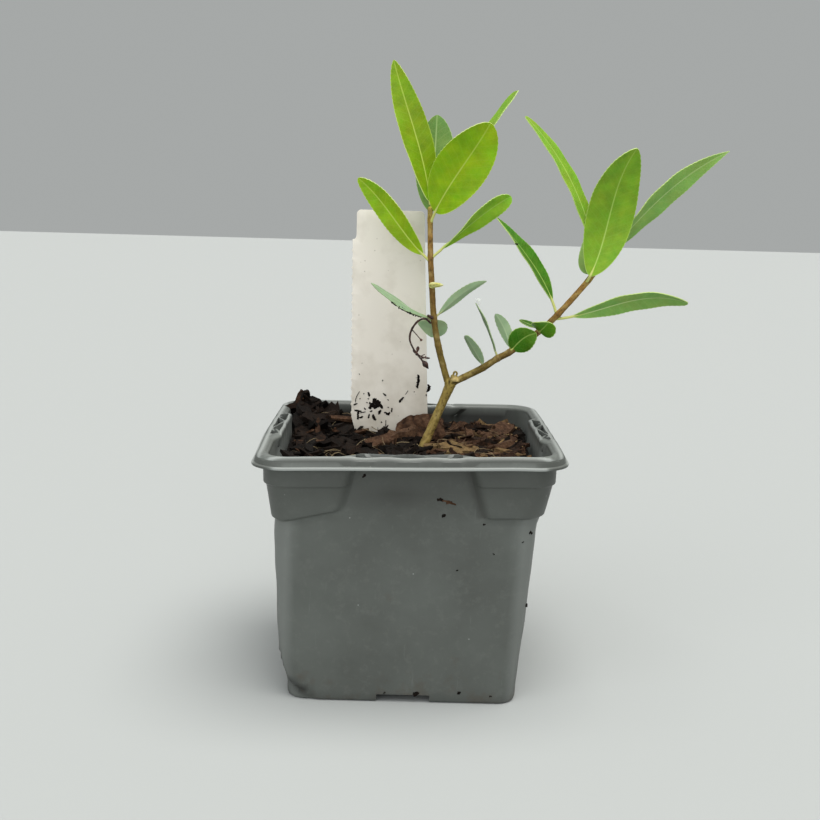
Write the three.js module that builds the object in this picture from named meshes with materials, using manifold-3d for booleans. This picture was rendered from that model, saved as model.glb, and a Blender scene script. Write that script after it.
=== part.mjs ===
// A young phillyrea in a square plastic nursery pot: a short leaning trunk that forks into two leafy
// shoots, the potting mix with its bark chips, and a blank plant label stuck in behind the trunk.
// Millimetres, +Z up. The origin is the centre of the pot's flat underside, on the surface that it
// stands on. +X runs to the right of the pot's front, and +Y runs to its back.
import * as THREE from 'three';
import { mergeVertices } from 'three/addons/utils/BufferGeometryUtils.js';
import Module from 'manifold-3d';

const wasm = await Module();
wasm.setup();

// Driving dimensions

const GAP = 0.3; // clearance between two pieces that touch on the real plant
const CUT_PAST = 2; // how far a cut runs on past the face that it opens

const POT = {
  height: 77,
  foot: 35.1, // half widths, from the foot up
  wallTop: 38.4,
  shoulder: 39.6,
  ridge: 41.8,
  lip: 45,
  rimOuter: 43.5,
  rimInner: 40.3,
  lugInner: 38.5,
  shoulderZ: 57.9, // where the corner panels step out
  ridgeZ: 71, // where they step out once more
  lipZ: 73.6, // the lower edge of the rim's skirt
  shoulderRise: 0.8,
  ridgeRise: 0.6,
  footRound: 1.2,
  rimRound: 0.3,
  wall: 0.8,
  skirt: 0.7,
  rimPlate: 1.2,
  floor: 1.2,
  lugFlat: 16.3, // half length of the lug in the middle of a side, without and with its ramps
  lugEnd: 20.3,
};
// The radii of the pot's corners
const POT_CORNER = { foot: 5, wall: 6, panel: 7.5, rimInner: 8, rimOuter: 9.5, lip: 10, steps: 6 };
const NOTCH = { width: 15.8, height: 2.5, reach: 10, roof: 1.1, slotWidth: 7, slotLength: 4 };
const PIT = { depth: 2.2, floor: 0.9, pitch: 7, halfBase: 3.1, inner: 39.9, outer: 42.4, count: 4 };

const MIX = {
  level: 70.3,
  lump: 0.8,
  edge: 39.3,
  lugEdge: 37.7,
  shoulderRise: 2,
  bankHeight: 3,
  shares: [1, 0.92, 0.8, 0.66, 0.5, 0.34, 0.17], // how far out its surface's rings of points lie
};
const HEAP = { x: -33, y: 31, height: 9.3, spread: 8 }; // bark piled up in the back left corner
const CHIPS = [
  { x: -1, y: 11, length: 26, width: 12, thickness: 3, turn: 22, tilt: 16, lift: 1.5 },
  { x: 15, y: -2, length: 12, width: 8, thickness: 1.8, turn: -6, tilt: 3, lift: 0.6 },
  { x: -20, y: 21, length: 10, width: 2.4, thickness: 1.6, turn: 4, tilt: 5, lift: 1.6 },
  { x: 13, y: 14, length: 14, width: 6, thickness: 2, turn: 5, tilt: 8, lift: 0.8 },
  { x: 28, y: -8, length: 10, width: 7, thickness: 2, turn: 40, tilt: -8, lift: 0.6 },
];
const LOOSE_CHIPS = { count: 12, seed: 5, length: [7, 13], width: [3, 6], thickness: [1.4, 2.4], tilt: 25 };

const LABEL = {
  y: 18,
  thickness: 0.6,
  top: 143.5,
  left: -18.7,
  right: 3,
  shoulderZ: 134.5,
  wideLeft: -20,
  wideRight: 5.7,
  lowZ: 76,
  tipZ: 50,
  tipHalf: 5,
  corner: 2,
  toothPitch: 3.4,
  toothDepth: 0.4,
};

// A shoot grows from its root by internodes, each a length, a heading round +Z and a rise from level.
const TRUNK = {
  root: [4.8, -2, 69.7],
  internodes: [[23, 14, 69]],
  ground: 70,
  radius: { foot: 1.9, middle: 1.65, fork: 1.9, flareEnds: 7, forkStarts: 18 },
};
const SHOOTS = {
  left: {
    root: [11.6, 0.2, 91],
    internodes: [[12, 173, 74], [8.5, 165, 79], [10, 148, 84], [9, 139, 84], [11, 122, 86], [4.5, 116, 87]],
    radius: { start: 1.2, end: 0.75 },
    crownAt: 47.5,
  },
  right: {
    root: [13.3, 0, 91.1],
    internodes: [[10.5, -10, 29], [5.5, -7, 35], [4, -7, 30], [12.5, -7, 38], [6.5, -10, 46], [14, -8, 51],
      [5, -8, 56]],
    radius: { start: 1.15, end: 0.9 },
    crownAt: 49.5,
  },
};
const NODE_SWELLING = { radius: 0.22, spread: 1.2 };
const PRUNED_STUB = { root: [13.2, -0.1, 92.3], internodes: [[2.8, 10, 77]], radius: 0.75 };
const BUD = { root: [5, 0.5, 121.2], internodes: [[4.2, -12, 3]], radius: 0.85 };

// The dried stalk of a spent flower hangs from the left shoot's second node.
const SPENT_STALK = {
  root: [5.9, -0.8, 109.5],
  internodes: [[2.7, 215, 34], [1.9, 180, -14], [2.5, 180, -47], [2.1, 180, -65], [2.4, 180, -85],
    [2.4, 0, -73], [2.3, 0, -60]],
  radius: 0.35,
};
const SPENT_BRANCH = { root: [-0.1, -2.1, 107.7], internodes: [[4.9, 0, -47]], radius: 0.28 };
const SPENT_TWIG = { root: [0.9, -2.1, 100.4], internodes: [[4.2, 0, -14]], radius: 0.3 };
const SPENT_CAPSULE = {
  root: [1, -2.1, 100.6],
  internodes: [[3.3, 0, -50], [3, 0, -52]],
  radius: 0.32,
  swell: 0.6,
  swellAt: 4.6,
  swellSpread: 1.1,
};

// A leaf leaves its shoot at a distance from the shoot's root and runs along its chord. Roll turns its
// face round the chord, twist turns it from base to tip, arch and sweep bow it, hook bends its tip, and
// cup folds its halves up. A low value of full keeps it broad near its base, and of blunt near its tip.
const LEAF = { twist: 0, arch: 0.5, sweep: 0, hook: 0, cup: 10, full: 0.7, blunt: 0.7, petiole: 1.5 };
const CROWN_LEAVES = {
  left: {
    tall: { at: 55, heading: 158, rise: 73, length: 45.5, width: 9.5, roll: -55, twist: 57, arch: 1.5,
      sweep: 0.5, hook: -0.4, full: 0.8, blunt: 0.83 },
    far: { at: 55, heading: 21, rise: 52, length: 45.5, width: 10, roll: -10, twist: -8, arch: -0.5,
      sweep: 0.5, full: 0.83, blunt: 0.35 },
    broad: { at: 49.5, heading: -38, rise: 55, length: 36.5, width: 16, roll: 111, twist: -60, arch: 1,
      sweep: -0.5, hook: 0.4, full: 0.53, blunt: 0.55, petiole: 4.3, cup: 8 },
    behind: { at: 50.5, heading: 84, rise: 67, length: 35.5, width: 12.5, roll: 175, arch: 1,
      full: 0.66, blunt: 0.58, petiole: 3, cup: 8 },
  },
  right: {
    broad: { at: 51.5, heading: -39, rise: 70, length: 42.5, width: 14.5, roll: 130, twist: -37,
      arch: -3.8, sweep: 0.3, hook: -1, full: 0.64, blunt: 0.64, petiole: 2.5, cup: 8 },
    behind: { at: 53, heading: 72, rise: 60, length: 33, width: 10.5, roll: 179, twist: 12, arch: 1.8,
      sweep: -1.4, hook: -0.6, full: 0.43, blunt: 0.93, petiole: 2, cup: 8 },
    left: { at: 58, heading: 168, rise: 61, length: 50, width: 8.5, roll: -146, twist: 14, arch: 0.5,
      sweep: 8, hook: 0.6, full: 0.52, blunt: 0.45, cup: 4 },
    right: { at: 58, heading: -8, rise: 44, length: 50, width: 9, roll: 53, twist: -72, arch: 2.3,
      sweep: -2, hook: -0.6, full: 0.69, blunt: 0.96, cup: 12 },
  },
};
const SINGLE_LEAVES = {
  left: {
    mid_left: { color: 'young', at: 38, heading: 173, rise: 47, length: 34, width: 7.5, roll: -99,
      twist: 15, arch: 1.4, sweep: 0.5, hook: 0.6, full: 0.62, blunt: 0.58, petiole: 3.3 },
    mid_right: { color: 'young', at: 39, heading: -12, rise: 39, length: 31, width: 7, roll: 147,
      twist: 72, arch: -0.5, sweep: -0.6, hook: -0.4, full: 0.83, blunt: 0.43, petiole: 4.2, cup: 20 },
    low_left: { color: 'dull', at: 20, heading: -163, rise: 29, length: 23.5, width: 5.5, roll: 158,
      twist: 30, arch: 0.7, hook: -0.5, full: 0.7, blunt: 0.89, petiole: 2 },
    low_right: { color: 'dull', at: 20.5, heading: 14, rise: 35, length: 20.5, width: 5, roll: -64,
      arch: 1.1, sweep: 0.6, hook: 0.3, full: 0.74, blunt: 0.8, petiole: 2 },
    low_back: { color: 'dull', at: 20.5, heading: 93, rise: -35, length: 12, width: 9.5, roll: 9,
      twist: -25, full: 0.54, blunt: 0.6, cup: 8 },
  },
  right: {
    first: { color: 'dull', at: 11, heading: -160, rise: 56, length: 12, width: 3.5, roll: 27,
      arch: 0.2, full: 0.45, blunt: 0.6, petiole: 1.2 },
    thin: { color: 'dull', at: 16, heading: 171, rise: 66, length: 18.5, width: 4, roll: 15, twist: -7,
      arch: 0.4, full: 0.73, blunt: 0.84, petiole: 2 },
    small_back: { color: 'dull', at: 20.5, heading: 125, rise: 54, length: 13.5, width: 4, roll: 119,
      twist: -7, arch: 0.6, sweep: -0.7, full: 0.75, blunt: 0.81 },
    round: { color: 'dark', at: 20, heading: -41, rise: 35, length: 12, width: 8, roll: 121, twist: 40,
      arch: 0, sweep: -1, hook: -0.2, full: 0.55, blunt: 0.63, cup: 8 },
    small_front: { color: 'dark', at: 31, heading: -74, rise: 27, length: 8.5, width: 8.5, roll: 147,
      twist: -38, arch: 0.6, full: 0.4, blunt: 0.41, petiole: 1.2, cup: 8 },
    small_dark: { color: 'dark', at: 32.5, heading: 139, rise: 13, length: 9, width: 3.2, roll: -18,
      arch: 0, sweep: -0.3, full: 0.76, blunt: 0.78, petiole: 1.2 },
    mid_left: { color: 'dark', at: 38.5, heading: 176, rise: 56, length: 35, width: 7, roll: -35,
      twist: -48, arch: 2, sweep: 0.5, hook: -0.6, full: 0.79, blunt: 0.67, petiole: 4.3, cup: 18 },
    mid_right: { color: 'grown', at: 37, heading: -7, rise: 9, length: 40.5, width: 8, roll: 125,
      twist: -59, arch: -0.8, sweep: -2.3, hook: -1.6, full: 0.86, blunt: 0.45, petiole: 5.3, cup: 15 },
  },
};

const COLORS = {
  pot: '#5f676a',
  mix: '#33261d',
  label: '#d6d0c6',
  bark: '#8f8350',
  twig: '#8a6a3a',
  bud: '#b9b450',
  spent: '#3a2a22',
  young: '#86ad22',
  grown: '#6a9432',
  dark: '#3e6b1e',
  dull: '#7f9c78',
};

// Solids from points

const rad = THREE.MathUtils.degToRad;
const UP = new THREE.Vector3(0, 0, 1);

/**
 * A closed body over a run of rings, which is closed at both ends round a point. Seen from the body's end,
 * each ring runs counter-clockwise.
 */
function loft(rings, start, end) {
  const count = rings[0].length;
  const corners = [start, ...rings.flat(), end];
  const last = corners.length - 1;
  const faces = [];
  for (let i = 0; i < count; i++) {
    const next = (i + 1) % count;
    faces.push(0, 1 + next, 1 + i);
    for (let level = 0; level + 1 < rings.length; level++) {
      const low = 1 + level * count;
      const high = low + count;
      faces.push(low + i, low + next, high + next, low + i, high + next, high + i);
    }
    faces.push(last - count + i, last - count + next, last);
  }
  const positions = corners.flatMap((point) => point.toArray());
  const geometry = new THREE.BufferGeometry();
  geometry.setAttribute('position', new THREE.Float32BufferAttribute(positions, 3));
  geometry.setIndex(faces);
  return toSolid(geometry);
}

function toSolid(geometry) {
  const bare = geometry.clone();
  bare.deleteAttribute('normal');
  bare.deleteAttribute('uv');
  const merged = mergeVertices(bare);
  return new wasm.Manifold(new wasm.Mesh({
    numProp: 3,
    vertProperties: new Float32Array(merged.attributes.position.array),
    triVerts: new Uint32Array(merged.index.array),
  }));
}

function toGeometry(solid) {
  const mesh = solid.getMesh();
  const geometry = new THREE.BufferGeometry();
  geometry.setAttribute('position', new THREE.Float32BufferAttribute(mesh.vertProperties, 3));
  geometry.setIndex(Array.from(mesh.triVerts));
  geometry.computeVertexNormals();
  return geometry;
}

function box(width, depth, height, x, y, z, turn = 0) {
  return toSolid(new THREE.BoxGeometry(width, depth, height).translate(x, y, z).rotateZ(turn));
}

function centreOf(ring) {
  return ring.reduce((sum, point) => sum.add(point), new THREE.Vector3()).divideScalar(ring.length);
}

const group = new THREE.Group();

function add(name, solid, color, roughness = 0.6) {
  const material = new THREE.MeshStandardMaterial({ color, roughness, metalness: 0 });
  const mesh = new THREE.Mesh(toGeometry(solid), material);
  mesh.name = name;
  group.add(mesh);
}

// The pot: one moulding whose wall runs up the outside, over the rim and down the inside to the floor

/**
 * One level of the pot or of the mix: a rounded square whose middle thirds may stand further in than its
 * corners, and lower.
 */
function squareRing(z, corner, middle, radius, middleZ = z) {
  const side = [
    [corner, -POT.lugEnd, z],
    [middle, -POT.lugFlat, middleZ],
    [middle, POT.lugFlat, middleZ],
    [corner, POT.lugEnd, z],
  ];
  const centre = corner - radius;
  for (let i = 0; i <= POT_CORNER.steps; i++) {
    const angle = (i / POT_CORNER.steps) * (Math.PI / 2);
    side.push([centre + radius * Math.cos(angle), centre + radius * Math.sin(angle), z]);
  }
  const ring = [];
  for (let quarter = 0; quarter < 4; quarter++) {
    for (const point of side) {
      ring.push(new THREE.Vector3(...point).applyAxisAngle(UP, quarter * Math.PI / 2));
    }
  }
  return ring;
}

/** Half the width of the straight wall at a height. In the middle of each side it runs on up to the rim. */
const straightWall = (z) => POT.foot + (POT.wallTop - POT.foot) * (z / POT.shoulderZ);

/** A level at which all round the pot stands equally far out. */
const evenRing = (z, half, radius, middleZ = z) => squareRing(z, half, half, radius, middleZ);

function outsideRings() {
  const { foot, wall, panel } = POT_CORNER;
  const stepZ = POT.shoulderZ + POT.shoulderRise;
  const ridgeZ = POT.ridgeZ + POT.ridgeRise;
  return [
    evenRing(0, POT.foot - POT.footRound, foot),
    evenRing(POT.footRound, POT.foot, wall),
    evenRing(POT.shoulderZ, POT.wallTop, wall),
    squareRing(stepZ, POT.shoulder, straightWall(stepZ), panel),
    squareRing(POT.ridgeZ, POT.ridge - POT.ridgeRise, straightWall(POT.ridgeZ), panel),
    squareRing(ridgeZ, POT.ridge, straightWall(ridgeZ), panel),
  ];
}

/** Up under the rim, round its skirt, over its top and in to its inner edge. */
function rimRings() {
  const { panel, rimInner, rimOuter, lip } = POT_CORNER;
  const under = POT.height - POT.rimPlate;
  const underLug = POT.height - PIT.depth - PIT.floor;
  const inside = POT.lip - POT.skirt;
  return [
    squareRing(under, POT.ridge, straightWall(underLug), panel, underLug),
    evenRing(under, inside - POT.rimRound, rimOuter, underLug),
    evenRing(POT.lipZ, inside, rimOuter),
    evenRing(POT.lipZ, POT.lip, lip),
    evenRing(POT.lipZ + POT.skirt, POT.lip - POT.rimRound / 3, lip),
    evenRing(POT.height - POT.rimRound, POT.rimOuter + POT.rimRound, rimOuter),
    evenRing(POT.height, POT.rimOuter, rimOuter),
    squareRing(POT.height, POT.rimInner + POT.rimRound, POT.lugInner + POT.rimRound, rimInner),
    squareRing(POT.height - POT.rimRound, POT.rimInner, POT.lugInner, rimInner),
  ];
}

function insideRings() {
  const { foot, wall, panel } = POT_CORNER;
  const stepZ = POT.shoulderZ + POT.shoulderRise;
  return [
    squareRing(POT.ridgeZ, POT.rimInner - POT.rimRound, straightWall(POT.ridgeZ) - POT.wall, panel),
    squareRing(stepZ, POT.shoulder - POT.wall, straightWall(stepZ) - POT.wall, panel - POT.wall),
    evenRing(POT.shoulderZ, POT.wallTop - POT.wall, wall - POT.wall),
    evenRing(POT.floor + POT.footRound, POT.foot - POT.wall, wall - POT.wall),
    evenRing(POT.floor, POT.foot - POT.wall - POT.footRound, foot - POT.wall),
  ];
}

function makePot() {
  const rings = [...outsideRings(), ...rimRings(), ...insideRings()];
  let pot = loft(rings, new THREE.Vector3(0, 0, 0), new THREE.Vector3(0, 0, POT.floor));
  for (let side = 0; side < 4; side++) {
    const turn = side * Math.PI / 2;
    pot = pot.add(notchRoof(turn, 0)).subtract(notch(turn)).subtract(drainSlot(turn));
    for (let i = 0; i < PIT.count; i++) {
      pot = pot.subtract(pit(i, turn));
    }
  }
  return pot;
}

/** The raised roof over a drain notch, from the wall inwards, grown on all sides by a clearance. */
function notchRoof(turn, grow) {
  const inner = POT.foot - NOTCH.reach - NOTCH.roof - grow;
  const outer = POT.foot - POT.wall / 2;
  const height = NOTCH.height + NOTCH.roof + grow - POT.floor / 2;
  const width = NOTCH.width + 2 * (NOTCH.roof + grow);
  return box(outer - inner, width, height, (outer + inner) / 2, 0, POT.floor / 2 + height / 2, turn);
}

function notch(turn) {
  const inner = POT.foot - NOTCH.reach;
  const outer = POT.foot + CUT_PAST;
  const height = NOTCH.height + CUT_PAST;
  return box(outer - inner, NOTCH.width, height, (outer + inner) / 2, 0, NOTCH.height - height / 2, turn);
}

function drainSlot(turn) {
  const x = POT.foot - NOTCH.reach / 2 - POT.wall;
  return box(NOTCH.slotLength, NOTCH.slotWidth, NOTCH.roof + 2 * CUT_PAST, x, 0, NOTCH.height, turn);
}

/** One of the triangular pits between the zigzag webs in a lug's top. */
function pit(i, turn) {
  const middle = (i - (PIT.count - 1) / 2) * PIT.pitch;
  const [base, point] = i % 2 ? [PIT.inner, PIT.outer] : [PIT.outer, PIT.inner];
  const triangle = new THREE.Shape([
    new THREE.Vector2(base, middle - PIT.halfBase),
    new THREE.Vector2(base, middle + PIT.halfBase),
    new THREE.Vector2(point, middle),
  ]);
  const prism = new THREE.ExtrudeGeometry(triangle, { depth: PIT.depth + CUT_PAST, bevelEnabled: false });
  return toSolid(prism.translate(0, 0, POT.height - PIT.depth).rotateZ(turn));
}

// Shoots

const direction = (heading, rise) => new THREE.Vector3(
  Math.cos(rad(rise)) * Math.cos(rad(heading)),
  Math.cos(rad(rise)) * Math.sin(rad(heading)),
  Math.sin(rad(rise)),
);

/** The curve that a trunk or shoot follows, and how far along it each node lies. */
function growth({ root, internodes }) {
  const points = [new THREE.Vector3(...root)];
  const nodes = [];
  let travelled = 0;
  for (const [length, heading, rise] of internodes) {
    points.push(points.at(-1).clone().addScaledVector(direction(heading, rise), length));
    travelled += length;
    nodes.push(travelled);
  }
  const curve = points.length > 2 ? new THREE.CatmullRomCurve3(points, false, 'centripetal')
    : new THREE.LineCurve3(...points);
  return { curve, nodes, length: travelled };
}

/** A round limb along a stretch of a curve. The radius is a function of the distance along the curve. */
function limb(curve, radiusAt, from, to, { sides = 10, spacing = 2.5, nose = 0, grow = 0 } = {}) {
  const length = curve.getLength();
  const steps = Math.max(2, Math.ceil((to - from) / spacing));
  const rings = [];
  let along;
  for (let i = 0; i <= steps; i++) {
    const distance = from + (to - from) * (i / steps);
    const u = THREE.MathUtils.clamp(distance / length, 0, 1);
    const centre = curve.getPointAt(u);
    along = curve.getTangentAt(u);
    const back = new THREE.Vector3(0, 1, 0).addScaledVector(along, -along.y).normalize();
    const across = along.clone().cross(back);
    const radius = radiusAt(distance) + grow;
    const ring = [];
    for (let k = 0; k < sides; k++) {
      const angle = (k / sides) * 2 * Math.PI;
      ring.push(centre.clone().addScaledVector(back, radius * Math.cos(angle))
        .addScaledVector(across, radius * Math.sin(angle)));
    }
    rings.push(ring);
  }
  const end = centreOf(rings.at(-1)).addScaledVector(along, nose);
  return loft(rings, centreOf(rings[0]), end);
}

function shootRadius(shoot, nodes, length) {
  return (distance) => {
    let radius = THREE.MathUtils.lerp(shoot.radius.start, shoot.radius.end, distance / length);
    for (const node of nodes) {
      radius += NODE_SWELLING.radius * Math.exp(-(((distance - node) / NODE_SWELLING.spread) ** 2));
    }
    return radius;
  };
}

/** The trunk flares at its foot and widens again below the fork. */
function trunkRadius(distance) {
  const { foot, middle, fork, flareEnds, forkStarts } = TRUNK.radius;
  const [[length]] = TRUNK.internodes;
  const flare = Math.max(0, 1 - distance / flareEnds);
  const widening = Math.max(0, (distance - forkStarts) / (length - forkStarts));
  return middle + (foot - middle) * flare + (fork - middle) * widening;
}

// Leaves

const PETIOLE_STATIONS = [0, 0.5, 1];
const BLADE_STATIONS = [0.04, 0.1, 0.2, 0.32, 0.46, 0.6, 0.74, 0.86, 0.94, 0.985];
const PETIOLE_HALF = 0.55;
const TIP_HALF = 0.25;

/** One leaf: its petiole and blade as one closed body with six sides. */
function leafSolid(spec, curve) {
  const leaf = { ...LEAF, ...spec };
  const base = curve.getPointAt(Math.min(leaf.at / curve.getLength(), 1));
  const chord = direction(leaf.heading, leaf.rise);
  const up = new THREE.Vector3(0, 0, 1).addScaledVector(chord, -chord.z).normalize();
  const side = chord.clone().cross(up);
  const tilt = (angle) => {
    const face = up.clone().multiplyScalar(Math.cos(angle)).addScaledVector(side, Math.sin(angle));
    return { face, across: chord.clone().cross(face) };
  };
  const thickness = Math.max(0.55, leaf.length / 80);
  const peakAt = leaf.full / (leaf.full + leaf.blunt);
  const outline = (u) => u ** leaf.full * (1 - u) ** leaf.blunt;
  const rib = (t) => {
    const { face, across } = tilt(rad(leaf.roll));
    const bow = 4 * t * (1 - t);
    const tipBend = 10 * t * (1 - t) * (2 * t - 1);
    return base.clone().addScaledVector(chord, leaf.length * t).addScaledVector(face, leaf.arch * bow)
      .addScaledVector(across, leaf.sweep * bow + leaf.hook * tipBend);
  };
  const share = leaf.petiole / leaf.length;
  const stations = [
    ...PETIOLE_STATIONS.map((v) => ({ t: v * share, half: PETIOLE_HALF })),
    ...BLADE_STATIONS.map((u) => ({
      t: share + u * (1 - share),
      half: Math.max(u < peakAt ? PETIOLE_HALF : TIP_HALF, (leaf.width / 2) * outline(u) / outline(peakAt)),
    })),
  ];
  const rings = stations.map(({ t, half }) => {
    const { face, across } = tilt(rad(leaf.roll - leaf.twist * (t - 0.5)));
    const centre = rib(t);
    const lift = half * Math.sin(rad(leaf.cup));
    const spread = half * Math.cos(rad(leaf.cup));
    const ribHalf = thickness * (0.95 - 0.45 * t);
    const edgeHalf = thickness * 0.32;
    const point = (sideways, height) => centre.clone().addScaledVector(across, sideways)
      .addScaledVector(face, height);
    return [
      point(0, ribHalf),
      point(spread, lift + edgeHalf),
      point(spread, lift - edgeHalf),
      point(0, -ribHalf),
      point(-spread, lift - edgeHalf),
      point(-spread, lift + edgeHalf),
    ];
  });
  return loft(rings, centreOf(rings[0]), rib(1));
}

const union = (solids) => solids.reduce((joined, solid) => joined.add(solid));

// The mix, the label and the small parts

/** How high the mix lies at a place: lumpy, banked up to the left, and heaped in the back left corner. */
function mixHeight(x, y) {
  // Crossing waves some 20 mm long, with finer ones of half their height
  const broadLumps = Math.sin(0.31 * x + 0.2 * y + 1) * Math.cos(0.27 * y - 0.1 * x);
  const lumps = broadLumps + 0.5 * Math.sin(0.7 * x - 0.45 * y);
  const bank = THREE.MathUtils.smoothstep(-x, 8, 38) * THREE.MathUtils.smoothstep(y, -30, 25);
  const heap = Math.exp(-((x - HEAP.x) ** 2 + (y - HEAP.y) ** 2) / (2 * HEAP.spread ** 2));
  return MIX.level + MIX.lump * lumps + MIX.bankHeight * bank + HEAP.height * heap;
}

const onMix = (x, y) => new THREE.Vector3(x, y, mixHeight(x, y));

function seededRandom(seed) {
  let state = seed;
  return () => {
    state = (state * 16807) % 2147483647;
    return state / 2147483647;
  };
}

/** A flat piece of bark with six uneven sides, lying on the mix. */
function barkChip({ x, y, length, width, thickness, turn, tilt, lift }, random) {
  const corners = [];
  for (let k = 0; k < 6; k++) {
    const angle = (k / 6) * 2 * Math.PI;
    const uneven = 0.8 + 0.3 * random();
    const corner = new THREE.Vector2(length * Math.cos(angle), width * Math.sin(angle));
    corners.push(corner.multiplyScalar(uneven / 2));
  }
  const outline = new THREE.Shape(corners);
  const slab = new THREE.ExtrudeGeometry(outline, { depth: thickness, bevelEnabled: false });
  slab.translate(0, 0, lift - thickness / 2).rotateY(rad(-tilt)).rotateZ(rad(turn));
  return toSolid(slab.translate(x, y, mixHeight(x, y)));
}

function looseChips(random) {
  const between = ([low, high]) => low + (high - low) * random();
  const chips = [];
  for (let i = 0; i < LOOSE_CHIPS.count; i++) {
    chips.push({
      x: between([-29, 28]),
      y: between([-26, 28]),
      length: between(LOOSE_CHIPS.length),
      width: between(LOOSE_CHIPS.width),
      thickness: between(LOOSE_CHIPS.thickness),
      turn: between([0, 180]),
      tilt: between([-LOOSE_CHIPS.tilt, LOOSE_CHIPS.tilt]),
      lift: 0.5,
    });
  }
  return chips;
}

function makeMix() {
  const wall = POT.wall + GAP;
  const stepZ = POT.shoulderZ + POT.shoulderRise;
  const { foot, wall: round, panel } = POT_CORNER;
  const rings = [
    evenRing(POT.floor + GAP, POT.foot - wall - POT.footRound, foot - wall),
    evenRing(POT.floor + POT.footRound + GAP, POT.foot - wall, round - wall),
    evenRing(stepZ, POT.wallTop - wall, round - wall),
    squareRing(stepZ + MIX.shoulderRise, POT.shoulder - wall, POT.wallTop - wall, panel - wall),
  ];
  const edge = squareRing(0, MIX.edge, MIX.lugEdge, panel - wall);
  for (const share of MIX.shares) {
    rings.push(edge.map((point) => onMix(share * point.x, share * point.y)));
  }
  const random = seededRandom(LOOSE_CHIPS.seed);
  const chips = [...CHIPS, ...looseChips(random)].map((chip) => barkChip(chip, random));
  const body = loft(rings, new THREE.Vector3(0, 0, POT.floor + GAP), onMix(0, 0));
  let mix = union([body, ...chips]);
  for (let side = 0; side < 4; side++) {
    mix = mix.subtract(notchRoof(side * Math.PI / 2, GAP));
  }
  return mix.subtract(labelSolid(GAP));
}

/** The label stands upright, with a step and fine teeth on its left edge and a tongue in the mix. */
function labelSolid(grow) {
  const { corner, shoulderZ, lowZ, toothPitch, toothDepth } = LABEL;
  const left = LABEL.left - grow;
  const right = LABEL.right + grow;
  const top = LABEL.top + grow;
  const wideLeft = LABEL.wideLeft - grow;
  const middle = (LABEL.wideLeft + LABEL.wideRight) / 2;
  const shape = new THREE.Shape();
  shape.moveTo(middle - LABEL.tipHalf - grow, LABEL.tipZ - grow);
  shape.lineTo(middle + LABEL.tipHalf + grow, LABEL.tipZ - grow);
  shape.lineTo(LABEL.wideRight + grow, lowZ);
  shape.lineTo(right, top - corner);
  shape.absarc(right - corner, top - corner, corner, 0, Math.PI / 2);
  shape.absarc(left + corner, top - corner, corner, Math.PI / 2, Math.PI);
  shape.lineTo(left, shoulderZ);
  for (let z = shoulderZ + LABEL.wideLeft - LABEL.left; z > lowZ; z -= toothPitch) {
    shape.lineTo(wideLeft, z);
    shape.lineTo(wideLeft + toothDepth, z - toothPitch / 2);
  }
  shape.lineTo(wideLeft, lowZ);
  const depth = LABEL.thickness + 2 * grow;
  const plate = new THREE.ExtrudeGeometry(shape, { depth, bevelEnabled: false, curveSegments: 5 });
  return toSolid(plate.rotateX(Math.PI / 2).translate(0, LABEL.y + depth / 2, 0));
}

/** A closed spindle round a short straight line, pointed at its far end. */
function budSolid(spec) {
  const { curve, length } = growth(spec);
  const swell = (distance) => Math.sin(Math.PI * (0.12 + 0.85 * (distance / length))) ** 0.6;
  const radiusAt = (distance) => spec.radius * swell(distance);
  return limb(curve, radiusAt, 0, length, { sides: 8, spacing: 0.6, nose: GAP });
}

function plainLimb(spec, sides = 6) {
  const { curve, length } = growth(spec);
  return limb(curve, () => spec.radius, 0, length, { sides, spacing: 1.2, nose: GAP });
}

function spentStalk() {
  const { radius, swell, swellAt, swellSpread } = SPENT_CAPSULE;
  const { curve, length } = growth(SPENT_CAPSULE);
  const radiusAt = (distance) => radius + swell * Math.exp(-(((distance - swellAt) / swellSpread) ** 2));
  const capsule = limb(curve, radiusAt, 0, length, { sides: 8, spacing: 0.6, nose: GAP });
  return union([plainLimb(SPENT_STALK), plainLimb(SPENT_BRANCH), plainLimb(SPENT_TWIG), capsule]);
}

// Build the plant

function trunkSolid(grow) {
  const { curve, length } = growth(TRUNK);
  return limb(curve, trunkRadius, 0, length, { sides: 12, spacing: 3, nose: 0.8, grow });
}

const [trunkX, trunkY] = TRUNK.root;
const cutter = 10; // the side of a box that cuts the trunk or the mix flat
const belowGround = box(cutter, cutter, cutter, trunkX, trunkY, TRUNK.ground - cutter / 2);
add('trunk', trunkSolid(0).subtract(belowGround), COLORS.bark, 0.8);

let joined = trunkSolid(GAP); // all the limbs so far, with a clearance round them
const cleared = {};
for (const [name, shoot] of Object.entries(SHOOTS)) {
  const { curve, nodes, length } = growth(shoot);
  const radiusAt = shootRadius(shoot, nodes, length);
  add(`${name}_stem`, limb(curve, radiusAt, 0, shoot.crownAt).subtract(joined), COLORS.twig, 0.7);
  cleared[name] = limb(curve, radiusAt, 0, shoot.crownAt, { grow: GAP });
  joined = joined.add(cleared[name]);

  const twig = limb(curve, radiusAt, shoot.crownAt + GAP, length, { nose: 0.9 });
  const crownLeaves = Object.values(CROWN_LEAVES[name]).map((spec) => leafSolid(spec, curve));
  add(`${name}_crown`, union([twig, ...crownLeaves]), COLORS[name === 'left' ? 'young' : 'grown'], 0.45);

  for (const [place, spec] of Object.entries(SINGLE_LEAVES[name])) {
    const leaf = leafSolid(spec, curve).subtract(cleared[name]);
    add(`leaf_${name}_${place}`, leaf, COLORS[spec.color], 0.5);
  }
}
add('pruned_stub', plainLimb(PRUNED_STUB, 8).subtract(joined), COLORS.bark, 0.8);
add('side_bud', budSolid(BUD).subtract(cleared.left), COLORS.bud, 0.5);
add('spent_flower_stalk', spentStalk().subtract(cleared.left), COLORS.spent, 0.8);

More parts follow.
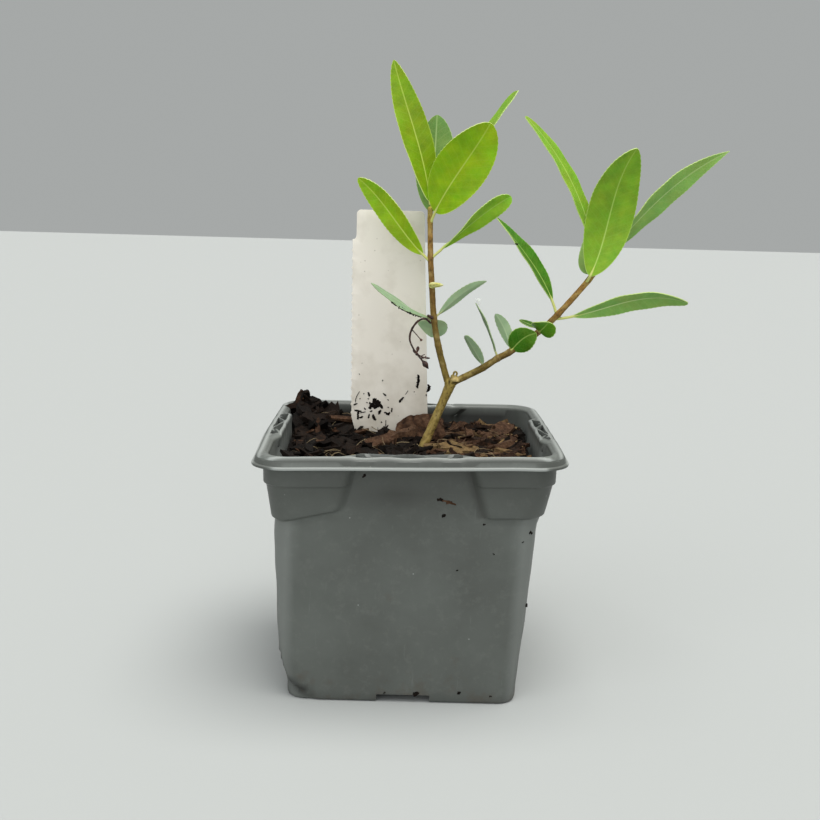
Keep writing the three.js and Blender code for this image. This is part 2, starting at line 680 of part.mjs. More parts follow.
const padWidth = 2 * TRUNK.radius.foot + 4 * GAP;
const trunkPad = box(padWidth, padWidth, cutter, trunkX, trunkY, TRUNK.ground - GAP + cutter / 2);
add('potting_mix', makeMix().subtract(trunkPad), COLORS.mix, 0.95);
add('plant_label', labelSolid(0), COLORS.label, 0.5);
add('pot', makePot(), COLORS.pot, 0.5);

export default group;
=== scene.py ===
import math
import random

import bpy
import numpy as np
from mathutils import Matrix, Vector, kdtree, noise


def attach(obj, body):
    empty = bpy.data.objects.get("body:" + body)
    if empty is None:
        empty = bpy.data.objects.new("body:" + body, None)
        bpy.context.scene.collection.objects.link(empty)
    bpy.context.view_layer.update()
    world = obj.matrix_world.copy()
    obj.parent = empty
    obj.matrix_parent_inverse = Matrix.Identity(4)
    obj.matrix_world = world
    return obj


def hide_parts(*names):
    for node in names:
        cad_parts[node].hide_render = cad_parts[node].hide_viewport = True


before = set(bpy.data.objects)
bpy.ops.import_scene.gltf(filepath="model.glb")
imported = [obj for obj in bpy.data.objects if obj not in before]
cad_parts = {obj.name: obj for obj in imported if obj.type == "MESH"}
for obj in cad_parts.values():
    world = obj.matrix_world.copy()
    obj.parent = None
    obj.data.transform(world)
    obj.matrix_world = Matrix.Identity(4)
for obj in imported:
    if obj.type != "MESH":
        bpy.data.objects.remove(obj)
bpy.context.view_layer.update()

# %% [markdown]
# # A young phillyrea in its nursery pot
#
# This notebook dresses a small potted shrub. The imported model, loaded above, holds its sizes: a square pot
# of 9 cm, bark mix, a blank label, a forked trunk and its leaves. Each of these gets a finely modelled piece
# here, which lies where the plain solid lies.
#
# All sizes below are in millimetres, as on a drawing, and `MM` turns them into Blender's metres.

MM = 0.001


def pick(*pieces):
    """Select these pieces and nothing else. The first one is the active one."""
    if bpy.context.object and bpy.context.object.mode != "OBJECT":
        bpy.ops.object.mode_set(mode="OBJECT")
    bpy.ops.object.select_all(action="DESELECT")
    for piece in pieces:
        piece.select_set(True)
    if pieces:
        bpy.context.view_layer.objects.active = pieces[0]


def modify(piece, kind, **settings):
    """Add a modifier with its settings and apply it."""
    pick(piece)
    modifier = piece.modifiers.new(kind.title(), kind)
    for name, value in settings.items():
        setattr(modifier, name, value)
    bpy.ops.object.modifier_apply(modifier=modifier.name)


def join(name, pieces):
    """Join pieces into one, with its place in its mesh."""
    pick(*pieces)
    if len(pieces) > 1:
        bpy.ops.object.join()
    piece = bpy.context.object
    piece.name = piece.data.name = name
    bpy.ops.object.transform_apply(location=True, rotation=True, scale=True)
    return piece


def read_points(piece, what):
    """A place (co) or a direction (normal) for each of a piece's points."""
    flat = np.empty(3 * len(piece.data.vertices))
    piece.data.vertices.foreach_get(what, flat)
    return flat.reshape(-1, 3)


def places_of(piece):
    """The places of a piece's points, in millimetres."""
    return read_points(piece, "co") / MM


def move_points(piece, places):
    """Put a piece's points at new places, in millimetres."""
    piece.data.vertices.foreach_set("co", (np.asarray(places) * MM).ravel())
    piece.data.update()


def edit(piece, act, **settings):
    """Select all of a piece in edit mode and do something to it, such as a cut."""
    pick(piece)
    bpy.ops.object.mode_set(mode="EDIT")
    bpy.ops.mesh.select_all(action="SELECT")
    act(**settings)
    bpy.ops.object.mode_set(mode="OBJECT")


def close_up(piece, distance=0.001):
    """Merge the points that lie together, and turn all faces outwards."""
    edit(piece, bpy.ops.mesh.remove_doubles, threshold=distance * MM)
    edit(piece, bpy.ops.mesh.normals_make_consistent, inside=False)


def add_grid(name, columns, rows):
    """A flat grid, and for each of its points the share of the way across and up."""
    pick()
    bpy.ops.mesh.primitive_grid_add(x_subdivisions=columns, y_subdivisions=rows, size=1)
    grid = bpy.context.object
    grid.name = name
    return grid, read_points(grid, "co")[:, :2] + 0.5


def smooth(piece, angle=40):
    pick(piece)
    bpy.ops.object.shade_smooth_by_angle(angle=math.radians(angle))


def hand_over(piece, nodes=(), materials=()):
    """Give a finished piece its materials and its place in the part."""
    for material in materials:
        piece.data.materials.append(material)
    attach(piece, "root")
    if nodes:
        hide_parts(*nodes)
    print(piece.name, "has", len(piece.data.polygons), "faces")
    return piece


# %% [markdown]
# ## Camera, floor and light
#
# The photograph was taken from a little above the rim, from about 35 cm away, with the camera tipped down by
# 10 degrees and rolled a little. The camera's place was worked out from the corners of the pot. Daylight
# from a window is broad and soft, so one large lamp stands above and behind on the right, a weaker one in
# front on the left opens the shadows, and the world adds a pale grey glow from all round.

# %% Camera, floor and lamps
FRAME_PIXELS = 820
FOCAL_PIXELS = 1143
SENSOR = 36
camera_data = bpy.data.cameras.new("camera")
camera_data.sensor_width = SENSOR
camera_data.lens = FOCAL_PIXELS / FRAME_PIXELS * SENSOR
camera_data.clip_start = 0.01
camera = bpy.data.objects.new("camera", camera_data)
bpy.context.collection.objects.link(camera)
CAMERA_PLACE = (-2.2, -353.6, 146.1)
TURN, TIP, ROLL = -0.37, 10.28, 1.56  # degrees: to the right, down and round the line of sight
camera.matrix_world = Matrix.Translation(Vector(CAMERA_PLACE) * MM)
for angle, axis in ((TURN, "Z"), (90 - TIP, "X"), (ROLL, "Z")):
    camera.matrix_world = camera.matrix_world @ Matrix.Rotation(math.radians(angle), 4, axis)
bpy.context.scene.camera = camera


def add_sun(name, shines_from, strength, softness, tint):
    """A sun that shines from a direction. A wide one gives the soft shadows of a large window."""
    sun_data = bpy.data.lights.new(name, "SUN")
    sun_data.energy = strength
    sun_data.angle = math.radians(softness)
    sun_data.color = tint
    sun = bpy.data.objects.new(name, sun_data)
    bpy.context.collection.objects.link(sun)
    sun.rotation_euler = Vector(shines_from).to_track_quat("Z", "Y").to_euler()


add_sun("window_above", (0.2, -0.1, 1), 3.3, 50, (1, 0.985, 0.95))
add_sun("room_in_front", (-0.25, -0.8, 0.5), 1.7, 80, (0.98, 0.99, 1))

world = bpy.data.worlds.new("pale_room")
bpy.context.scene.world = world
world.use_nodes = True
glow = world.node_tree.nodes["Background"].inputs
glow["Color"].default_value = (0.40, 0.415, 0.41, 1)
glow["Strength"].default_value = 0.95
bpy.context.scene.view_settings.view_transform = "Standard"

pick()
bpy.ops.mesh.primitive_plane_add(size=8)
floor = bpy.context.object
floor.name = "floor"
print("The camera's lens has a focal length of", round(camera_data.lens, 1), "mm")

# %% [markdown]
# ## Materials
#
# One function adds a node, sets what it is told, links what comes from other nodes and gives back the node's
# output. Colours are written as hex values, as a picture editor shows them, and are turned to linear light
# before Blender gets them.

# %% Tools for materials
UNDER, OVER = 6, 7  # the sockets of a Mix node that take two colours


def linear(hex_colour):
    """The linear colour of an sRGB hex value."""
    channels = [int(hex_colour[i:i + 2], 16) / 255 for i in (1, 3, 5)]
    return (*[c / 12.92 if c <= 0.04045 else ((c + 0.055) / 1.055) ** 2.4 for c in channels], 1)


def fill(node, inputs):
    """Give each named or numbered socket its value, its hex colour or the output that it is linked to."""
    for name, value in inputs.items():
        if isinstance(value, bpy.types.NodeSocket):
            node.id_data.links.new(value, node.inputs[name])
        else:
            node.inputs[name].default_value = linear(value) if isinstance(value, str) else value


def add_node(material, kind, inputs=None, stops=(), output=None, **settings):
    """Add a node and return the output that is asked for, or else the first one that is in use."""
    node = material.node_tree.nodes.new("ShaderNode" + kind)
    for name, value in settings.items():
        setattr(node, name, value)
    fill(node, inputs or {})
    for i, (position, colour) in enumerate(stops):
        points = node.color_ramp.elements
        point = points[i] if i < 2 else points.new(position)
        point.position = position
        point.color = linear(colour)
    return node.outputs[output] if output else next(socket for socket in node.outputs if socket.enabled)


def finish_material(material, inputs):
    """Fill the sockets of the material's principled shader."""
    fill(material.node_tree.nodes["Principled BSDF"], inputs)


def start_material(name, roughness, inputs=None):
    material = bpy.data.materials.new(name)
    material.use_nodes = True
    finish_material(material, {"Roughness": roughness, **(inputs or {})})
    return material


def waves_per_metre(size):
    """The scale that a texture needs on coordinates in metres for features of that size in millimetres."""
    return 1 / (size * MM)


floor.data.materials.append(start_material("matt_paper_floor", 0.9, {"Base Color": "#a6a9a8"}))

# %% [markdown]
# ## How the shrub grows
#
# A shoot grows from its root by internodes: each has a length, a heading round the vertical and a rise from
# level. A centripetal spline runs smoothly through their ends, as a young stem does. Everything on the shrub
# is placed by its distance along such a line, so stems, leaves and their stalks always meet.

# %% The lines of growth
def direction(heading, rise):
    heading, rise = math.radians(heading), math.radians(rise)
    level = math.cos(rise)
    return Vector((level * math.cos(heading), level * math.sin(heading), math.sin(rise)))


class GrowthLine:
    """A smooth line through the ends of internodes, read by the distance along it in millimetres."""

    def __init__(self, root, internodes):
        ends = [Vector(root)]
        for length, heading, rise in internodes:
            ends.append(ends[-1] + length * direction(heading, rise))
        samples = [ends[0]]
        guides = [2 * ends[0] - ends[1], *ends, 2 * ends[-1] - ends[-2]]
        for i in range(1, len(ends)):
            samples += self.span(*guides[i - 1:i + 3])
        self.samples = np.array(samples)
        steps = np.linalg.norm(np.diff(self.samples, axis=0), axis=1)
        self.travelled = np.concatenate([[0], np.cumsum(steps)])
        self.length = self.travelled[-1]
        self.nodes = np.cumsum([length for length, heading, rise in internodes])

    @staticmethod
    def span(before, start, end, after, steps=40):
        """Points between start and end on the spline."""
        gaps = [math.sqrt((b - a).length) for a, b in ((before, start), (start, end), (end, after))]
        pull = (start - before) / gaps[0] - (end - before) / (gaps[0] + gaps[1]) + (end - start) / gaps[1]
        push = (end - start) / gaps[1] - (after - start) / (gaps[1] + gaps[2]) + (after - end) / gaps[2]
        pull, push = pull * gaps[1], push * gaps[1]
        points = []
        for i in range(1, steps + 1):
            u = i / steps
            bend = (2 * start - 2 * end + pull + push) * u ** 3
            bend += (3 * end - 3 * start - 2 * pull - push) * u ** 2
            points.append(start + pull * u + bend)
        return points

    def at(self, distance):
        return np.stack([np.interp(distance, self.travelled, self.samples[:, k]) for k in range(3)], -1)

    def along(self, distance):
        """The direction in which the line runs at a distance."""
        low = np.clip(np.asarray(distance) - 0.4, 0, self.length - 0.8)
        run = self.at(low + 0.8) - self.at(low)
        return run / np.linalg.norm(run, axis=-1, keepdims=True)


TRUNK = {"root": (4.1, -2, 69.7), "internodes": [(23.25, 12.9, 67.4)]}
SHOOTS = {
    "left": {
        "root": (11.6, 0.2, 91),
        "internodes": [(12, 173, 74), (8.5, 165, 79), (10, 148, 84), (9, 139, 84), (11, 122, 86),
                       (4.5, 116, 87)],
        "radius": (1.05, 0.8),
    },
    "right": {
        "root": (13.3, 0, 91.1),
        "internodes": [(10.5, -10, 29), (5.5, -7, 35), (4, -7, 30), (12.5, -7, 38), (6.5, -10, 46),
                       (14, -8, 51), (5, -8, 56)],
        "radius": (1.08, 0.85),
    },
}
lines = {name: GrowthLine(shoot["root"], shoot["internodes"]) for name, shoot in SHOOTS.items()}
lines["trunk"] = GrowthLine(TRUNK["root"], TRUNK["internodes"])
for name, line in lines.items():
    print("The", name, "line is", round(float(line.length), 1), "mm long")

# %% [markdown]
# ## Stems
#
# A stem is a tube that tapers and swells at its nodes. Blender could make it from a curve with a bevel, but
# then the bark could not follow it. Here a flat grid is rolled up round the line instead: one side of the
# grid becomes the way along the stem and the other the way round it, and the seam is merged.

# %% Rolling a grid up into a tube
def frame_across(along):
    """Two directions at right angles to a line's run and to each other."""
    back = np.array([0, 1, 0]) - along * along[:, 1:2]
    back /= np.linalg.norm(back, axis=1, keepdims=True)
    return back, np.cross(along, back)


def is_end(sheet):
    """Which points of a grid lie on its first or last row, where a tube is drawn together."""
    return np.abs(sheet[:, 1] - 0.5) > 0.4999


def add_tube(name, line, radius_at, start, end, sides=24, spacing=0.5):
    """A closed tube along a stretch of a line, whose radius is a function of the distance."""
    tube, sheet = add_grid(name, sides, max(4, round((end - start) / spacing)))
    distance = start + (end - start) * sheet[:, 1]
    angle = 2 * math.pi * sheet[:, 0]
    radius = np.array([radius_at(d) for d in distance]) * ~is_end(sheet)
    back, across = frame_across(line.along(distance))
    spread = back * np.cos(angle)[:, None] + across * np.sin(angle)[:, None]
    move_points(tube, line.at(distance) + spread * radius[:, None])
    close_up(tube)
    return tube


NODE_SWELLING = 0.08
NODE_SPREAD = 1.2


def trunk_radius(distance):
    """The trunk flares at its foot and widens again below the fork."""
    return 1.36 + 0.12 * max(0, 1 - distance / 7) ** 1.5 + 0.32 * max(0, (distance - 17) / 6)


def shoot_radius(name):
    start, end = SHOOTS[name]["radius"]
    line = lines[name]

    def radius_at(distance):
        swellings = sum(math.exp(-((distance - node) / NODE_SPREAD) ** 2) for node in line.nodes)
        return start + (end - start) * distance / line.length + NODE_SWELLING * swellings

    return radius_at


# %% [markdown]
# ## The wood
#
# On the real shrub the trunk, the shoots and the cut stub are one piece of wood. So the tubes are joined,
# and a voxel remesh turns them into one skin with soft forks, as if they had grown together. It is fine
# enough, at 0.13 mm, to take the bark's relief afterwards. A swollen callus has healed round the stub's cut,
# and a dry curl of bark stands on it.

# %% Join the stems into one skin
STUB = GrowthLine((13.2, -0.1, 91.6), [(3.5, 10, 77)])
VOXEL = 0.13
GROUND = 69.75

parts = [add_tube("trunk_tube", lines["trunk"], trunk_radius, -0.6, lines["trunk"].length)]
for name in SHOOTS:
    parts.append(add_tube(name + "_tube", lines[name], shoot_radius(name), 0, lines[name].length))
parts.append(add_tube("stub_tube", STUB, lambda d: 0.62 - 0.08 * d, 0, 2.0))
CALLUS = [((12.4, 0, 90.7), (1.8, 1.6, 1.9)), ((13.6, -0.7, 92.1), (1.2, 1.2, 1.1)),
          ((13.1, -0.9, 93.0), (0.7, 0.8, 0.7)), ((14.5, -1.0, 91.7), (0.8, 0.8, 0.7))]
for spot, spread in CALLUS:
    pick()
    bpy.ops.mesh.primitive_uv_sphere_add(segments=24, ring_count=12, location=Vector(spot) * MM, radius=MM)
    bpy.context.object.scale = spread
    parts.append(bpy.context.object)
CURL = GrowthLine((13.5, -0.6, 92.7), [(0.8, 180, 75), (0.9, 20, 75), (0.55, 0, 30), (0.65, 0, -50),
                                       (0.7, 190, -80), (0.6, 190, -60)])
parts.append(add_tube("curl_tube", CURL, lambda d: 0.3 + 0.03 * math.sin(5 * d), 0, CURL.length,
                      spacing=0.2))
wood = join("wood", parts)
modify(wood, "REMESH", mode="VOXEL", voxel_size=VOXEL * MM)
modify(wood, "SMOOTH", factor=0.6, iterations=4)
print("The wood has", len(wood.data.vertices), "points")

# %% [markdown]
# Bark is drawn along the stem: fine cracks run up it, and scars run round it where leaves have fallen. A
# pattern in plain space would cut across, so every point of the wood gets a second place, `grain`, which is
# where it would lie if its stem were pulled straight. `age` says how old the wood is, from 0 at the foot of
# the trunk to 1 at a shoot's tip.

# %% Find each point's place along its stem
SHIFTS = {"trunk": 0, "left": 23, "right": 123}  # one stem after the other in the pulled-out pattern


def straighten(places):
    """For each place the offset from the nearest line and the distance along it, and its age."""
    samples = []
    for name, line in lines.items():
        gone = np.arange(0, line.length, 0.2)[:, None]
        constants = np.full((len(gone), 2), (SHIFTS[name], line.length))
        samples.append(np.hstack([line.at(gone[:, 0]), line.along(gone[:, 0]), gone, constants]))
    samples = np.concatenate(samples)
    centres, runs = samples[:, :3], samples[:, 3:6]
    gone, shift, length = samples[:, 6:].T
    tree = kdtree.KDTree(len(centres))
    for i, centre in enumerate(centres):
        tree.insert(centre, i)
    tree.balance()
    nearest = np.array([tree.find(place)[1] for place in places])
    offset = places - centres[nearest]
    along = runs[nearest]
    reached = gone[nearest] + (offset * along).sum(1)
    back, across = frame_across(along)
    grain = np.stack([(offset * across).sum(1), (offset * back).sum(1), reached + shift[nearest]], 1)
    share = reached / length[nearest]
    age = np.where(shift[nearest] == 0, 0.3 * share, 0.3 + 0.7 * share)
    return grain, age


def write_attribute(piece, name, values, kind="FLOAT"):
    attribute = piece.data.attributes.new(name, kind, "POINT")
    field = "value" if kind == "FLOAT" else "vector"
    attribute.data.foreach_set(field, np.asarray(values, dtype=np.float32).ravel())


places = places_of(wood)
grain, age = straighten(places)
RING_SCARS = {"left": (5.5, 10.2, 12.0, 20.5, 30.5, 39.0),
              "right": (4.0, 10.5, 16.0, 20.0, 26.5, 32.5, 39.0)}
scar_places = [SHIFTS[name] + distance for name, scars in RING_SCARS.items() for distance in scars]


def share_near(spot, spread, power=2):
    """How near each point of the wood is to a spot: 1 on it, and falling to 0 over its spread."""
    return np.exp(-np.linalg.norm((places - spot) / spread, axis=1) ** power)


relief = np.empty(len(places))
scarred = np.exp(-((grain[:, 2:3] - np.array(scar_places)) / 0.35) ** 2).sum(1)
callus = share_near((13.8, -1.8, 92.3), (1.4, 1.4, 1.0), 4)
pit = share_near((14.0, -1.9, 91.0), (1.1, 1.2, 0.3)) + share_near((12.0, -1.5, 91.4), (0.25, 1.2, 0.9))
for i, (x, y, z) in enumerate(grain):
    cracks = noise.fractal(Vector((x * 2.2, y * 2.2, z * 0.5)), 1, 2, 4)
    lumps = noise.noise(Vector((x * 0.8, y * 0.8, z * 0.6)))
    wander = 0.5 * noise.noise(Vector((x * 0.9, y * 0.9, z * 0.1)))
    scar = max(math.exp(-((z + wander - s) / 0.2) ** 2) for s in scar_places)
    roughness = 0.07 - 0.04 * age[i]
    relief[i] = roughness * cracks + 0.06 * lumps + 0.06 * scar
places += read_points(wood, "normal") * (relief - 0.4 * pit)[:, None]
places[:, 2] = np.maximum(places[:, 2], GROUND)
move_points(wood, places)
write_attribute(wood, "grain", grain * MM, "FLOAT_VECTOR")
for name, values in (("age", age), ("relief", relief), ("scar", scarred), ("callus", callus), ("pit", pit)):
    write_attribute(wood, name, values)
smooth(wood, 60)

# %% [markdown]
# ### Bark
#
# Young bark is thin cork over green wood. On the trunk it has weathered to an olive tan with pale streaks,
# and up the shoots it is a smooth warm brown, which turns yellow-green where the newest leaves sit. It is
# dull. Small dark pores dot it, and the relief darkens it too, where the skin lies deeper.

# %% Bark material
bark = start_material("thin_cork_bark", 0.66, {"Specular IOR Level": 0.25})
pulled = add_node(bark, "Attribute", output="Vector", attribute_name="grain")
read = {name: add_node(bark, "Attribute", output="Fac", attribute_name=name)
        for name in ("age", "relief", "scar", "callus", "pit")}
stretched = add_node(bark, "Mapping", {"Vector": pulled, "Scale": (1, 1, 0.5)})
streaks = add_node(bark, "TexNoise", {
    "Vector": stretched, "Scale": waves_per_metre(1.1), "Detail": 5, "Roughness": 0.65})
patches = add_node(bark, "TexNoise", {"Vector": pulled, "Scale": waves_per_metre(2.4), "Detail": 4})
pores = add_node(bark, "TexVoronoi", {"Vector": pulled, "Scale": waves_per_metre(1.1)})
by_age = add_node(bark, "ValToRGB", {"Fac": read["age"]}, stops=[
    (0, "#a08c52"), (0.3, "#94823f"), (0.42, "#74632a"), (0.7, "#80602b"), (0.9, "#aa8240"), (1, "#b4a648")])
light_and_dark = add_node(bark, "ValToRGB", {"Fac": streaks}, stops=[
    (0.3, "#8f8778"), (0.5, "#dcd8ce"), (0.7, "#ffffff")])
colour = add_node(bark, "Mix", {"Factor": 1.0, UNDER: by_age, OVER: light_and_dark},
                  data_type="RGBA", blend_type="MULTIPLY")
patch_mask = add_node(bark, "MapRange", {
    "Value": patches, "From Min": 0.5, "From Max": 0.66, "To Max": 0.42})
# darker where the relief lies deeper
hollows = add_node(bark, "MapRange", {
    "Value": read["relief"], "From Min": -0.02, "From Max": -0.1, "To Max": 0.7})
broken_scars = add_node(bark, "Math", {0: read["scar"], 1: patches}, operation="MULTIPLY")
pore_mask = add_node(bark, "MapRange", {"Value": pores, "From Min": 0.3, "From Max": 0.18, "To Max": 0.7})
for mask, coat in ((patch_mask, "#a8965e"), (hollows, "#4a3c22"), (broken_scars, "#6b5226"),
                   (pore_mask, "#53401f"), (read["callus"], "#b9a46c"), (read["pit"], "#241a0c")):
    colour = add_node(bark, "Mix", {"Factor": mask, UNDER: colour, OVER: coat}, data_type="RGBA")
bump = add_node(bark, "Bump", {"Height": streaks, "Strength": 0.5, "Distance": 0.12 * MM})
finish_material(bark, {"Base Color": colour, "Normal": bump})
hand_over(wood, ("trunk", "left_stem", "right_stem", "pruned_stub"), [bark])

# %% [markdown]
# ## Leaves
#
# A phillyrea leaf is thick and leathery, with a pale midrib, faint side veins and small teeth on its margin.
# Leaves sit in opposite pairs. Each row of the table below says where a leaf sits on its shoot, where its
# chord points, how long and wide it is, and how its face rolls, twists and bows. The flat grid is a good
# start for a blade again: its columns become the way from margin to margin, and its rows the way to the tip.

# %% Where the leaves sit and how they turn
# shade sets each leaf's brightness. It is partly the leaf's own colour and partly painted light and shade:
# leaves that turn down away from the lamps are made lighter, and leaves that face them are made darker.
LEAF_USUALLY = dict(twist=0, arch=0.5, sweep=0, hook=0, cup=10, full=0.7, blunt=0.7, petiole=1.5,
                    setback=0, fade=0.35, shade=1)
LEAVES = {
    "left_crown": {
        "tall": dict(at=55, heading=158, rise=73, length=45.5, width=9.5, roll=-55, twist=57, arch=1.5,
                     sweep=0.5, hook=-0.4, full=0.5, blunt=0.66, shade=0.74),
        "far": dict(at=55, heading=21, rise=52, length=45.5, width=10, roll=-10, twist=-8, arch=-0.5,
                    sweep=0.5, full=0.83, blunt=0.35),
        "broad": dict(at=49.5, heading=-38, rise=55, length=36.5, width=16, roll=111, twist=-60, arch=1,
                      sweep=-0.5, hook=0.4, full=0.53, blunt=0.55, petiole=4.3, cup=8),
        "behind": dict(at=50.5, heading=84, rise=67, length=35.5, width=12.5, roll=175, arch=1,
                       full=0.66, blunt=0.58, petiole=3, cup=8, shade=0.75),
    },
    "right_crown": {
        "broad": dict(at=51.5, heading=-39, rise=70, length=42.5, width=14.5, roll=130, twist=-37,
                      arch=-3.8, sweep=0.3, hook=-1, full=0.64, blunt=0.64, petiole=2.5, cup=8,
                      setback=-3.2),
        "behind": dict(at=53, heading=72, rise=60, length=33, width=10.5, roll=179, twist=12, arch=1.8,
                       sweep=-1.4, hook=-0.6, full=0.43, blunt=0.93, petiole=2, cup=8),
        "left": dict(at=58, heading=168, rise=61, length=50, width=7.3, roll=-27, twist=-14, arch=3.9,
                     sweep=0.5, hook=0.3, full=0.52, blunt=0.45, cup=4, setback=3.4),
        "right": dict(at=58, heading=-8, rise=44, length=50, width=9, roll=136, twist=78, arch=-2.6,
                      sweep=-1.7, hook=-0.6, full=0.69, blunt=0.96, cup=12, setback=5.5, fade=0.6,
                      shade=1.25),
    },
    "leaf_left": {
        "mid_left": dict(at=38, heading=173, rise=47, length=34, width=7.5, roll=-99, twist=15, arch=1.4,
                         sweep=0.5, hook=0.6, full=0.62, blunt=0.58, petiole=3.3, shade=0.9),
        "mid_right": dict(at=39, heading=-12, rise=39, length=31, width=7, roll=147, twist=72, arch=-0.5,
                          sweep=-0.6, hook=-0.4, full=0.83, blunt=0.43, petiole=4.2, cup=20, shade=1.35),
        "low_left": dict(at=20, heading=-163, rise=29, length=23.5, width=5.5, roll=158, twist=30,
                         arch=0.7, hook=-0.5, blunt=0.89, petiole=2, shade=0.84),
        "low_right": dict(at=20.5, heading=14, rise=35, length=20.5, width=3.9, roll=-64, arch=1.1,
                          sweep=0.6, hook=0.3, full=0.74, blunt=0.8, petiole=2, shade=1.1),
        "low_back": dict(at=20.5, heading=93, rise=-35, length=12, width=9.5, roll=9, twist=-25,
                         full=0.54, blunt=0.6, cup=8, shade=1.7),
    },
    "leaf_right": {
        "first": dict(at=11, heading=-160, rise=56, length=12, width=4, roll=27, arch=0.2, full=0.45,
                      blunt=0.42, petiole=1.2, shade=0.9),
        "thin": dict(at=16, heading=171, rise=66, length=18.5, width=4, roll=15, twist=-7, arch=0.4,
                     full=0.73, blunt=0.84, petiole=2, shade=0.6),
        "small_back": dict(at=20.5, heading=125, rise=54, length=13.5, width=4, roll=119, twist=-7,
                           arch=0.6, sweep=-0.7, full=0.7, blunt=0.55, shade=0.85),
        "round": dict(at=20, heading=-41, rise=35, length=12, width=8, roll=121, twist=40, arch=0,
                      sweep=-1, hook=-0.2, full=0.55, blunt=0.63, cup=8),
        "small_front": dict(at=31, heading=-74, rise=27, length=8.5, width=7.8, roll=147, twist=-38,
                            arch=0.6, full=0.4, blunt=0.41, petiole=1.2, cup=8, shade=1.5),
        "small_dark": dict(at=32.5, heading=139, rise=13, length=9, width=3.2, roll=-18, arch=0,
                           sweep=-0.3, full=0.76, blunt=0.78, petiole=1.2, shade=0.7),
        "mid_left": dict(at=38.5, heading=176, rise=56, length=35, width=7, roll=-35, twist=-48, arch=2,
                         sweep=0.5, hook=-0.6, full=0.79, blunt=0.67, petiole=4.3, cup=18),
        "mid_right": dict(at=37, heading=-7, rise=9, length=40.5, width=8, roll=125, twist=-59,
                          arch=-0.8, sweep=-2.3, hook=-1.6, full=0.86, blunt=0.45, petiole=5.3, cup=15,
                          shade=1.12),
    },
}

# %% [markdown]
# The rib of a leaf is its chord, bowed. At each point of the rib a little frame turns with the leaf's roll
# and twist: `face` points out of the blade's upper side, and `across` lies in the blade. The blade then
# spreads along `across`, with its halves folded up a little, and its margin runs out in teeth every 1.4 mm.
# A `setback` moves a blade away from the camera, along its sight lines, where crowded leaves would cross.

# %% The rib and the blade
TOOTH_PITCH = 1.4
TOOTH_DEPTH = 0.17
BLADE_THICKNESS = 0.24
MARGIN_STEPS = (0.0, 0.12, 0.3, 0.5, 0.68, 0.82, 0.91, 0.965, 1.0)
SIGHT = 354  # how far away the camera is


class Rib:
    """The line of a leaf's midrib, with the two directions in which its blade spreads and faces."""

    def __init__(self, leaf, line):
        self.leaf = leaf
        self.base = line.at(leaf["at"])
        chord = direction(leaf["heading"], leaf["rise"])
        up = Vector((0, 0, 1)) - chord * chord.z
        self.chord, self.up = np.array(chord), np.array(up.normalized())
        self.side = np.cross(self.chord, self.up)

    def turned(self, degrees):
        angle = np.radians(degrees)[:, None]
        face = np.cos(angle) * self.up + np.sin(angle) * self.side
        return face, np.cross(self.chord, face)

    def at(self, t):
        """Places at shares of the rib's length, with the face and across directions there."""
        leaf = self.leaf
        face, across = self.turned(np.full(len(t), float(leaf["roll"])))
        bow = 4 * t * (1 - t)
        side_bow = leaf["sweep"] * bow + leaf["hook"] * 10 * t * (1 - t) * (2 * t - 1)
        places = self.base + self.chord * leaf["length"] * t[:, None]
        places = places + face * leaf["arch"] * bow[:, None] + across * side_bow[:, None]
        setback = leaf["setback"] * np.clip(t / 0.06, 0, 1) * np.exp(-(t / leaf["fade"]) ** 2)
        places[:, 1] += setback
        places[:, 0] += setback * places[:, 0] / SIGHT
        return (places, *self.turned(leaf["roll"] - leaf["twist"] * (t - 0.5)))


def half_width(leaf, u):
    """Half the blade's width at a share of its length, without teeth."""
    full, blunt = leaf["full"], leaf["blunt"]
    peak = (full / (full + blunt)) ** full * (blunt / (full + blunt)) ** blunt
    return leaf["width"] / 2 * u ** full * (1 - u) ** blunt / peak


def add_blade(name, leaf, rib, seed, skins):
    """The thin blade, with teeth, a groove over its rib and a slightly wavy surface."""
    length = leaf["length"] - leaf["petiole"]
    columns = 2 * (len(MARGIN_STEPS) - 1)
    blade, sheet = add_grid(name, columns, max(24, round(length * 4.5)))
    step = np.round(sheet[:, 0] * columns - columns / 2).astype(int)
    out = np.array(MARGIN_STEPS)[np.abs(step)]
    sign = np.sign(step)
    u = (1 - np.cos(math.pi * np.clip(sheet[:, 1], 0, 1))) / 2
    share = leaf["petiole"] / leaf["length"]
    t = share + u * (1 - share)
    half = half_width(leaf, np.clip(u, 1e-6, 1 - 1e-6))
    phase = (u * length / TOOTH_PITCH + 0.5 * (sign > 0) + seed) % 1
    tooth = np.minimum(phase / 0.75, (1 - phase) / 0.25)
    toothed = np.clip((u - 0.12) / 0.2, 0, 1) * np.clip(half / 1.5, 0, 1)
    half = half + TOOTH_DEPTH * (tooth - 0.5) * toothed * out ** 6
    places, face, across = rib.at(t)
    cup = math.radians(leaf["cup"])
    fold = np.sqrt(out ** 2 + 0.02) - math.sqrt(0.02)
    waves = np.sin(2 * math.pi * (u * length / 11 + 0.3 * sign + seed))
    waves *= 0.16 * out ** 2 * np.sin(math.pi * u)
    groove = -0.1 * np.exp(-(out * half / 0.35) ** 2) * (1 - u)
    height = half * math.sin(cup) * fold + waves + groove
    spread = half * math.cos(cup) * out * sign
    move_points(blade, places + across * spread[:, None] + face * height[:, None])
    for word, values in (("from_rib", out * half * MM), ("from_margin", (1 - out) * half * MM),
                         ("along_leaf", u * length * MM), ("rib_fade", np.clip(1.22 - 0.8 * u, 0.1, 1))):
        write_attribute(blade, word, values)
    close_up(blade, 0.02)
    face_outwards(blade, rib)
    for skin in skins:
        blade.data.materials.append(skin)
    modify(blade, "SOLIDIFY", thickness=BLADE_THICKNESS * MM, offset=0,
           material_offset=1, material_offset_rim=2)
    return blade


